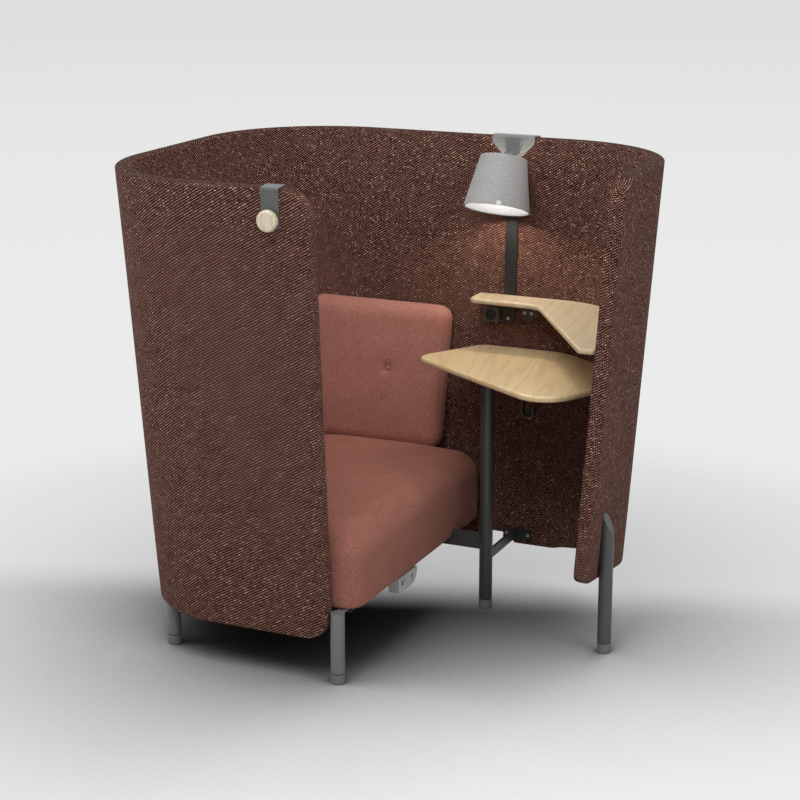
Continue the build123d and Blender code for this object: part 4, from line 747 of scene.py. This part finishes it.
@dataclass
class Seat:
    """Upholstered seat: straight padded sides, a wide soft roll and a crowned top."""

    left: float = -584.0
    right: float = 103.0
    front: float = -463.0
    back: float = 456.0
    bottom: float = 205.0
    top: float = 443.0
    wall_round: float = 262.0    # corners on the wall's side
    open_round: float = 60.0     # corners on the open side
    crown: float = 8759.0        # radius of the top's sphere
    roll: float = 92.0
    power: float = 2.15          # of the roll's superellipse
    foot_roll: float = 16.0
    swell: float = 2.0

    def surface(self, x: Array, y: Array) -> Array:
        """Height of the crowned top: a sphere's cap about the seat's middle."""
        return self.top - ((x - (self.left + self.right) / 2) ** 2 + y ** 2) / (2 * self.crown)

    def skin(self, x: Array, y: Array) -> Array:
        """Height of the top with its roll: at u from the nearest side it lies lower by
        roll (1 - (1 - (1 - u/roll)^p)^(1/p)), with p the power of the roll."""
        near = np.minimum.reduce((x - self.left, self.right - x, y - self.front, self.back - y))
        past = 1 - np.clip(near / self.roll, 0, 1)
        return self.surface(x, y) - self.roll * (1 - (1 - past ** self.power) ** (1 / self.power))

    def build(self) -> Thing:
        """Rings from the middle of the underside, up the side and over the roll to the middle.

        The roll follows a quarter of a superellipse, and the side swells by swell sin(pi t)
        over its height t.

        Returns:
            The seat's upholstery.
        """
        outline = Outline(self.left, self.right, self.front, self.back, self.wall_round, self.open_round)
        # inset and height share of each ring: 0 at the foot, 1 at the top
        height, half, bend = self.top - self.bottom, (self.right - self.left) / 2, 2 / self.power
        low, high = self.foot_roll / height, 1 - self.roll / height
        steps = [(inset, 0.0) for inset in (half, 300.0, 240.0, 150.0, 80.0, 40.0, 24.0)]
        steps += [(self.foot_roll * (1 - math.cos(turn)), low * (1 - math.sin(turn)))
                  for turn in np.radians(np.linspace(90, 6, 7))]
        steps += [(-self.swell * math.sin(math.pi * t), low + (high - low) * t)
                  for t in np.linspace(0, 1, 14)]
        steps += [(self.roll * (1 - math.cos(turn) ** bend), high + (1 - high) * math.sin(turn) ** bend)
                  for turn in np.radians(np.linspace(0, 90, 24))[1:]]
        steps += [(inset, 1.0) for inset in np.linspace(self.roll + 8, half, 28)]
        rings = []
        for inset, share in steps:
            plan = outline.ring(inset)
            dome = self.surface(plan[:, 0], plan[:, 1]) - self.bottom
            rings.append(np.column_stack((plan, self.bottom + share * dome)))
        points = np.concatenate(rings)
        above = smooth_step((points[:, 2] - self.bottom - 60) / 120.0)
        points[:, 2] += above * 0.8 * (np.sin(points[:, 0] / 71.0) * np.sin(points[:, 1] / 93.0 + 0.7) - 1.0)
        faces = quads(len(rings), len(rings[0]), around=True)
        return piece("seat_upholstery", points, faces, merge=2e-5)


@dataclass
class Cushion:
    """Loose cushion leaning on a wall, bedded on the seat, with one drawn-in button."""

    seat: Seat
    walls: Walls
    stands_for: str              # CAD node
    turn: float                  # degrees from the back wall to its wall, about +Z
    reach: float                 # rim's outer face, from the middle
    left: float
    right: float
    button: float                # place of the button along the wall
    height: float = 458.0
    thick: float = 80.0
    bed: float = 45.0            # how far the lower edge would reach into the seat
    gap: float = 0.4             # between the cushion and the seat
    corner: float = 46.0
    sunk: float = 11.0           # how far the button lies under the full thickness
    taper: float = 0.0           # how much shorter the lower edge is at its right end

    def axes(self) -> tuple[Array, Array, Array, Array]:
        """Origin, and directions along the wall, up its slope and into the room."""
        turn = math.radians(self.turn)
        outward = np.array([-math.sin(turn), math.cos(turn), 0.0])
        inward = -outward * math.cos(LEAN) + np.array([0.0, 0.0, math.sin(LEAN)])
        along = np.array([math.cos(turn), math.sin(turn), 0.0])
        origin = outward * self.reach + np.array([0.0, 0.0, self.walls.rim])
        return origin, along, np.cross(inward, along), inward

    def foot(self) -> float:
        """Place of the lower edge up the slope, from the rim."""
        drop = self.walls.rim + self.walls.wall * math.sin(LEAN) - (self.seat.top - self.bed)
        return -drop / math.cos(LEAN)

    def profile(self) -> list[tuple[float, float]]:
        """Inset and depth of each ring, from the middle of the back to the middle of the face.

        The back edge is a quarter circle of 15 mm, the side swells by 5 sin(pi t) mm, and the
        face edge is a superellipse of 50 mm across and 30 mm deep.
        """
        rings = [(inset, 0.3) for inset in (self.height / 2, 190.0, 150.0, 100.0, 60.0, 34.0, 20.0)]
        rings += [(15 * (1 - math.cos(turn)) + 4.0, 0.3 + 15 * (1 - math.sin(turn)))
                  for turn in np.radians(np.linspace(90, 8, 7))]
        rings += [(4.0 - 5.0 * math.sin(math.pi * (0.15 + 0.7 * t)), 17 + 23 * t)
                  for t in np.linspace(0, 1, 8)]
        rings += [(1.0 + 50 * (1 - math.cos(turn) ** 0.92), 40 + 30 * math.sin(turn) ** 0.92)
                  for turn in np.radians(np.linspace(0, 90, 18))[1:]]
        return rings + [(inset, 70.0) for inset in np.linspace(56.0, self.height / 2, 40)]

    def build(self) -> tuple[Thing, Thing]:
        """The cushion and its button.

        The face is lifted by a crown of 10 (1 - (a/A)^2)(1 - (b/B)^2) mm and pulled in round the
        button by 7.5 exp(-(r/17)^2) + 2.2 exp(-(r/62)^2) mm, with eight faint pleats.

        Returns:
            The cushion and the button.
        """
        origin, along, up, inward = self.axes()
        bottom, top = self.foot(), self.foot() + self.height
        outline = Outline(self.left, self.right, bottom, top, self.corner, self.corner, 54, 16)
        rings = [(outline.ring(inset), depth) for inset, depth in self.profile()]
        local = np.concatenate([np.column_stack((ring, np.full(len(ring), depth))) for ring, depth in rings])
        x, y, half = local[:, 0], local[:, 1], (self.right - self.left) / 2
        a = np.clip(np.abs(x - (self.left + self.right) / 2) / half, 0, 1)
        b = np.clip(np.abs(y - (bottom + self.height / 2)) / (self.height / 2), 0, 1)
        front = smooth_step((local[:, 2] - 40.0) / 28.0)
        button_y = bottom + (self.height + self.bed) / 2
        away = np.hypot(x - self.button, y - button_y)
        angle = np.arctan2(y - button_y, x - self.button)
        pleat = 0.3 * np.cos(8 * angle + 0.6 * np.sin(2 * angle)) * np.exp(-((away - 24) / 13.0) ** 2)
        tuft = 7.5 * np.exp(-(away / 17.0) ** 2) + 2.2 * np.exp(-(away / 62.0) ** 2)
        slack = 0.8 * np.sin(x / 47.0 + 0.5) * np.sin(y / 39.0 + 1.1) * (1 - a ** 4)
        local[:, 2] += front * (10.0 * (1 - a ** 2) * (1 - b ** 2) - tuft + pleat + slack)
        # a full cushion pulls its sides in between the corners
        pull = 3.5 * (1 - np.abs(2 * front - 1))
        local[:, 0] -= np.sign(x - (self.left + self.right) / 2) * pull * (1 - b ** 2) * (a > 0.6)
        share = np.clip((x - self.left) / (2 * half), 0, 1)
        local[:, 0] -= self.taper * share ** 2 * (1 - np.clip((y - bottom) / self.height, 0, 1))
        local[:, 2] += self.walls.wall
        points = origin + local @ np.stack((along, up, inward))
        # bedded on the seat and kept inside the walls
        points[:, 2] = np.maximum(points[:, 2], self.seat.skin(points[:, 0], points[:, 1]) + self.gap)
        faces = quads(len(rings), len(rings[0][0]), around=True)
        made = piece(self.stands_for + "_cover", self.walls.keep_inside(points), faces, merge=2e-5)
        depth = self.walls.wall + self.thick - self.sunk
        spot = origin + along * self.button + up * button_y + inward * depth
        return made, self.make_button(spot, along, up, inward)

    def make_button(self, spot: Array, along: Array, up: Array, inward: Array) -> Thing:
        """Cloth-covered button: a flat dome, z = 6.2 (1 - (r/10)^2.6), rolled under at its edge."""
        dome = 6.2 * (1 - (np.linspace(0, 9.6, 12) / 10) ** 2.6)
        lift = np.concatenate((dome, [0.2, -0.7, -1.4, -1.8, -1.8]))
        r, angle = lathe(np.concatenate((np.linspace(0.02, 9.6, 12), [9.95, 10.0, 9.8, 9.0, 0.02])), 48)
        points = (spot + (r * np.cos(angle))[..., None] * along + (r * np.sin(angle))[..., None] * up
                  + lift[:, None, None] * inward)
        faces = quads(*r.shape, around=True)
        return piece(self.stands_for + "_cover_button", points.reshape(-1, 3), faces, merge=5e-5)


# ---------------------------------------------------------------- wooden boards
@dataclass
class Board:
    """Solid wooden board with rounded corners and a soft bullnose all round."""

    name: str
    corners: tuple[tuple[float, float, float], ...]   # x, y and radius, anticlockwise from above
    under: float
    thick: float
    edge: float                  # how far the bullnose reaches over the faces
    power: float = 2.4           # of the bullnose's superellipse
    step: float = 9.0            # between the mesh's points

    def outline(self) -> tuple[Array, Array]:
        """Points along the outline and their directions to the inside.

        Each corner is an arc that touches both of its edges at radius / tan(half the angle).
        """
        spots = np.array(self.corners)
        points, inward = [], []
        for last, (*here, radius), following in zip(np.roll(spots, 1, 0), spots, np.roll(spots, -1, 0)):
            back, ahead = (side[:2] - here for side in (last, following))
            back, ahead = back / np.linalg.norm(back), ahead / np.linalg.norm(ahead)
            half = math.acos(float(np.clip(back @ ahead, -1, 1))) / 2
            middle = here + (back + ahead) / np.linalg.norm(back + ahead) * radius / math.sin(half)
            start, end = (here + side * radius / math.tan(half) - middle for side in (back, ahead))
            turn = math.atan2(start[0] * end[1] - start[1] * end[0], float(start @ end))
            count = max(6, int(abs(turn) * radius / self.step) + 1)
            angle = math.atan2(start[1], start[0]) + turn * np.linspace(0, 1, count)
            ray = np.stack((np.cos(angle), np.sin(angle)), 1)
            points.append(middle + ray * radius)
            inward.append(-ray * math.copysign(1.0, turn))
        line, side = [], []
        for arc, toward, after in zip(points, inward, points[1:] + points[:1]):
            gap = after[0] - arc[-1]
            share = np.linspace(0, 1, max(2, int(np.linalg.norm(gap) / self.step)) + 1)[1:-1, None]
            line += [arc, arc[-1] + gap * share]
            side += [toward, np.broadcast_to(toward[-1], (len(share), 2))]
        return np.concatenate(line), np.concatenate(side)

    def build(self) -> Thing:
        """Rings over the bullnose, a superellipse, closed by the two flat faces."""
        line, inward = self.outline()
        turn, bend = np.radians(np.linspace(-90, 90, 17)), 2 / self.power
        across = self.edge * (1 - np.abs(np.cos(turn)) ** bend)
        level = self.thick / 2 * (1 + np.sign(turn) * np.abs(np.sin(turn)) ** bend)
        across = np.concatenate(([self.edge + 3.0], across, [self.edge + 3.0]))
        level = self.under + np.concatenate(([0.0], level, [self.thick]))
        grid = np.concatenate([np.column_stack((line + inward * a, np.full(len(line), z)))
                               for a, z in zip(across, level)])
        count = len(line)
        caps = (list(range(count)), list(range(len(grid) - count, len(grid))))
        return piece(self.name, grid, quads(len(level), count, around=True), caps=caps)


TABLE = Board("table_board", ((-50.0, 279.0, 45.0), (475.0, -60.0, 100.0), (607.0, 200.0, 60.0),
                              (610.0, 318.0, 150.0), (352.0, 502.0, 150.0), (78.0, 502.0, 60.0)),
              under=726.0, thick=18.0, edge=9.0)
SHELF = Board("shelf_board", ((66.0, 410.0, 26.0), (290.0, 404.0, 60.0), (578.0, -58.0, 16.0),
                              (627.5, -58.0, 12.0), (627.5, 503.5, 300.0), (66.0, 503.5, 9.0)),
              under=890.0, thick=16.0, edge=7.5)


# ---------------------------------------------------------------- power unit
@dataclass
class ContactShade:
    """Black caps in the power unit's recess: painted shade for the dark holes of its contacts and the slit
    of its switch beside it.
    """

    recess_x: float = 96.0
    face_x: float = 101.0
    middle: tuple[float, float] = (-150.0, 182.5)    # y and z of the recess
    spread: float = 6.0          # shutters from the middle
    hole_radius: float = 3.9         # radius
    slit: tuple[float, float] = (3.0, 8.0)           # half its width and height
    slit_from_middle: tuple[float, float] = (62.0, 4.0)
    proud: float = 0.7

    def lens(self, x: float, y: float, z: float, half_y: float, half_z: float) -> Array:
        """Flat round-edged cap: rings of (half_y cos a, half_z sin a) about (y, z), from x outward."""
        r, angle = lathe(np.array([0.001, 1.0, 1.0, 0.92, 0.001]), 28)
        out = x + np.array([0.0, 0.0, 0.6, 1.0, 1.0])[:, None] * self.proud
        return np.stack((np.broadcast_to(out, r.shape), y + half_y * r * np.cos(angle),
                         z + half_z * r * np.sin(angle)), -1)

    def build(self) -> Thing:
        """Three round caps for the holes about the middle of the recess, and one for the slit, in one piece.
        """
        y, z = self.middle
        caps = [self.lens(self.recess_x, y + self.spread * math.cos(turn), z + self.spread * math.sin(turn),
                          self.hole_radius, self.hole_radius) for turn in np.radians([90, 210, 330])]
        over, above = self.slit_from_middle
        caps.append(self.lens(self.face_x, y + over, z + above, *self.slit))
        rows, columns = caps[0].shape[:2]
        faces = [quads(rows, columns, around=True) + index * rows * columns for index in range(len(caps))]
        points = np.concatenate(caps).reshape(-1, 3)
        return piece("power_contact_shade", points, np.concatenate(faces), merge=2e-5)


# ---------------------------------------------------------------- lamp
@dataclass
class LampShade:
    """One layer of the conical shade on its tilted axis, open at both ends, its rims rounded."""

    name: str
    depth: float                 # of its outer face under the shade's surface
    thick: float
    inset: float = 0.0           # how much shorter it is at each rim
    lap: float = 0.0             # height of the seam's lap at the back
    pivot: tuple[float, float, float] = (154.0, 462.816, 1322.0)
    tilt: float = 20.0
    top_radius: float = 70.0
    foot_radius: float = 100.0
    rise: float = 8.0            # upper rim over the pivot, along the axis
    height: float = 158.0

    def place(self, radius: Array, angle: Array, level: Array) -> Array:
        """Points from the radius, the angle from +X and the level along the shade's axis."""
        tilt = math.radians(self.tilt)
        x, y = radius * np.cos(angle), radius * np.sin(angle)
        return np.stack((self.pivot[0] + x,
                         self.pivot[1] + y * math.cos(tilt) + level * math.sin(tilt),
                         self.pivot[2] - y * math.sin(tilt) + level * math.cos(tilt)), axis=-1)

    def build(self) -> Thing:
        """Down the outer face, round the lower rim, up the inner face and over the upper rim."""
        top, foot = self.rise - self.inset, self.rise - self.height + self.inset
        flare = (self.foot_radius - self.top_radius) / self.height
        half = self.thick / 2
        down = np.linspace(top - half, foot + half, 26)
        rim = np.radians(np.linspace(0, 180, 9))[1:-1]
        turn_in, flat = half * np.sin(rim), np.full(26, half)
        level = np.concatenate((down, foot + half - turn_in, down[::-1], top - half + turn_in))
        side = np.concatenate((flat, half * np.cos(rim), -flat, -half * np.cos(rim)))[:, None]
        levels, angle = lathe(level, 180)
        # the lap lies at the back, a ridge with a sharp and a slow flank
        past = np.degrees(np.angle(np.exp(1j * (angle - math.pi / 2))))
        ridge = smooth_step((past + 1.5) / 1.5) * (1 - smooth_step((past - 1.0) / 7.0)) * (side > 0)
        ripple = 0.25 * np.sin(3 * angle + levels / 40.0)
        radius = (self.top_radius + (self.rise - levels) * flare - self.depth - half + side
                  + self.lap * ridge + ripple)
        grid = self.place(radius, angle, levels)
        loop = np.concatenate((grid, grid[:1])).reshape(-1, 3)
        return piece(self.name, loop, quads(len(levels) + 1, levels.shape[1], around=True), merge=1e-5)


# ---------------------------------------------------------------- CAD nodes that keep their shape
NODE_FINISHES: dict[Finish, tuple[str, ...]] = {
    Finish.FRAME: ("leg_front_left", "leg_rear_left", "leg_seat_front", "leg_feet", "seat_leg_plate",
                   "leg_gussets", "table_flange"),
    # painted shade: the entry leg is the frame's steel, painted darker
    Finish.ENTRY: ("leg_entry",),
    # painted shade: leg_table is the frame's steel, in the dark finish for the shade under the table
    Finish.DARK: ("leg_table", "rail_left", "rail_front", "rail_right", "rail_cross", "screen_brackets",
                  "stay_bar", "entry_plate", "table_brackets", "shelf_brackets", "power_angle"),
    Finish.NIGHT: ("stay_plate", "lamp_strap"),
    Finish.PLATE: ("lamp_clip", "lamp_spider"),
    Finish.HOOK: ("coat_hook",),
    Finish.ZINC: ("entry_bolts", "board_screws", "wall_screws", "lamp_pin"),
    Finish.KNOB: ("coat_knob",),
    Finish.PLY: ("seat_board",),
    Finish.SOCKET: ("socket_box",),
    Finish.TAB: ("shade_tab",),
    # painted shade: bag_hook is dark powder-coated steel, painted black for the shade it hangs in
    Finish.BLACK: ("lamp_holder", "socket_insert", "bag_hook"),
    Finish.GREY: ("power_unit",),
    Finish.BULB: ("lamp_bulb",),
}


# ---------------------------------------------------------------- studio
@dataclass
class SoftBox:
    """Square area light, placed and aimed in metres."""

    name: str
    place: tuple[float, float, float]
    aim: tuple[float, float, float]
    size: float
    power: float                 # watts

    def build(self) -> None:
        """The light, turned from straight down toward its aim."""
        data = bpy.data.lights.new(self.name, "AREA")
        data.size, data.energy = self.size, self.power
        made = bpy.data.objects.new(self.name, data)
        made.location = self.place
        x, y, z = np.array(self.aim) - np.array(self.place)
        flat = math.hypot(x, y)
        made.rotation_euler = (math.atan2(flat, -z), 0, math.atan2(-x, y) if flat else 0.0)
        bpy.context.scene.collection.objects.link(made)


@dataclass
class Studio:
    """Pale seamless floor, soft light from above and the photograph's camera."""

    eye: tuple[float, float, float] = (2.2876, -5.0585, 2.2102)
    heading: float = 24.1125     # degrees from +Y toward -X
    pitch: float = 15.403
    focal_px: float = 1992.5
    image_px: float = 800.0
    floor_side: float = 60000.0
    floor_drop: float = 0.5      # under the feet
    boxes: tuple[SoftBox, ...] = (
        SoftBox("left", (-3.6, -2.2, 3.0), (0.0, 0.0, 0.6), 2.2, 58.0),
        SoftBox("right", (3.9, -1.4, 2.8), (0.0, 0.0, 0.6), 2.2, 48.0),
        SoftBox("top", (0.0, -0.5, 4.8), (0.0, 0.0, 0.0), 3.4, 45.0),
        SoftBox("front", (0.3, -3.0, 5.0), (0.0, 0.0, 0.3), 2.6, 132.0),
        SoftBox("back", (0.6, 3.2, 4.4), (0.0, 0.0, 0.4), 2.6, 60.0))

    def camera(self) -> None:
        """Camera at the place and angle of the photograph."""
        data = bpy.data.cameras.new("camera")
        data.sensor_width = 36.0
        data.lens = self.focal_px / self.image_px * data.sensor_width
        data.clip_end = 100.0
        made = bpy.data.objects.new("camera", data)
        made.location = self.eye
        made.rotation_euler = (math.radians(90 - self.pitch), 0, math.radians(self.heading))
        bpy.context.scene.collection.objects.link(made)
        bpy.context.scene.camera = made

    def floor(self) -> None:
        """One large pale floor that also fills the background."""
        side = np.linspace(-self.floor_side / 2, self.floor_side / 2, 3)
        x, y = np.meshgrid(side, side, indexing="ij")
        points = np.stack((x, y, np.full_like(x, -self.floor_drop)), -1).reshape(-1, 3)
        made = piece("floor", points, quads(3, 3)[:, ::-1])
        paint(made, Finish.FLOOR)

    def world(self) -> None:
        """Even pale surroundings that light softly and look like the far paper."""
        world = bpy.data.worlds.new("studio")
        bpy.context.scene.world = world
        world.use_nodes = True
        tree = world.node_tree
        tree.nodes.clear()
        light, seen = (node(tree, "ShaderNodeBackground", {"Color": linear(colour), "Strength": strength})
                       for colour, strength in (("#f2f2f4", 0.3), ("#dedede", 1.0)))
        mixed = node(tree, "ShaderNodeMixShader", {0: directly_seen(tree), 1: light.outputs[0],
                                                   2: seen.outputs[0]})
        node(tree, "ShaderNodeOutputWorld", {"Surface": mixed.outputs[0]})

    def build(self) -> None:
        """Floor, world, lights and camera."""
        self.floor()
        self.world()
        for box in self.boxes:
            box.build()
        self.camera()


def build_pieces() -> None:
    """Build every new piece and dress the CAD nodes that keep their shape."""
    walls = Walls()
    seat = Seat()
    screen = dress(Screen(walls).build(), Finish.SCREEN, "base", "screen_fabric", "screen_shell")
    dress(seat.build(), Finish.SEAT, "base", "seat_fabric", "seat_cushion")
    side = Cushion(seat, walls, "side_cushion", 0.0, walls.half_depth, -500.0, -14.0, -206.0, taper=24.0)
    back = Cushion(seat, walls, "back_cushion", 90.0, walls.half_width, -292.0, 292.0, 0.0)
    for cushion in (side, back):
        cover, button = cushion.build()
        dress(cover, Finish.CUSHION, "base", "seat_fabric", cushion.stands_for)
        dress(button, Finish.CUSHION, "base", "seat_fabric", cushion.stands_for + "_button")
    dress(TABLE.build(), Finish.TABLE, "base", "maple", "table_top")
    dress(SHELF.build(), Finish.SHELF, "base", "maple", "shelf")
    dress(ContactShade().build(), Finish.BLACK, "base", "dark_plastic")
    felt = LampShade("shade_felt_cover", depth=0.0, thick=3.0, lap=1.6)
    dress(felt.build(), Finish.FELT, "shade", "felt", "shade_felt")
    liner = LampShade("shade_white_lining", depth=3.3, thick=1.2, inset=1.0)
    dress(liner.build(), Finish.LINER, "shade", "white_liner", "shade_liner")
    for finish, names in NODE_FINISHES.items():
        for name in names:
            paint(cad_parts[name], finish)
            log.info("node %s: %s", name, finish.value.name)


def main() -> None:
    """Build the chair, then the studio."""
    logging.basicConfig(level=logging.INFO)
    bpy.context.scene.view_settings.view_transform = "Standard"
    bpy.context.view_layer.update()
    build_pieces()
    Studio().build()
    bpy.context.view_layer.update()


if __name__ == "__main__":
    main()
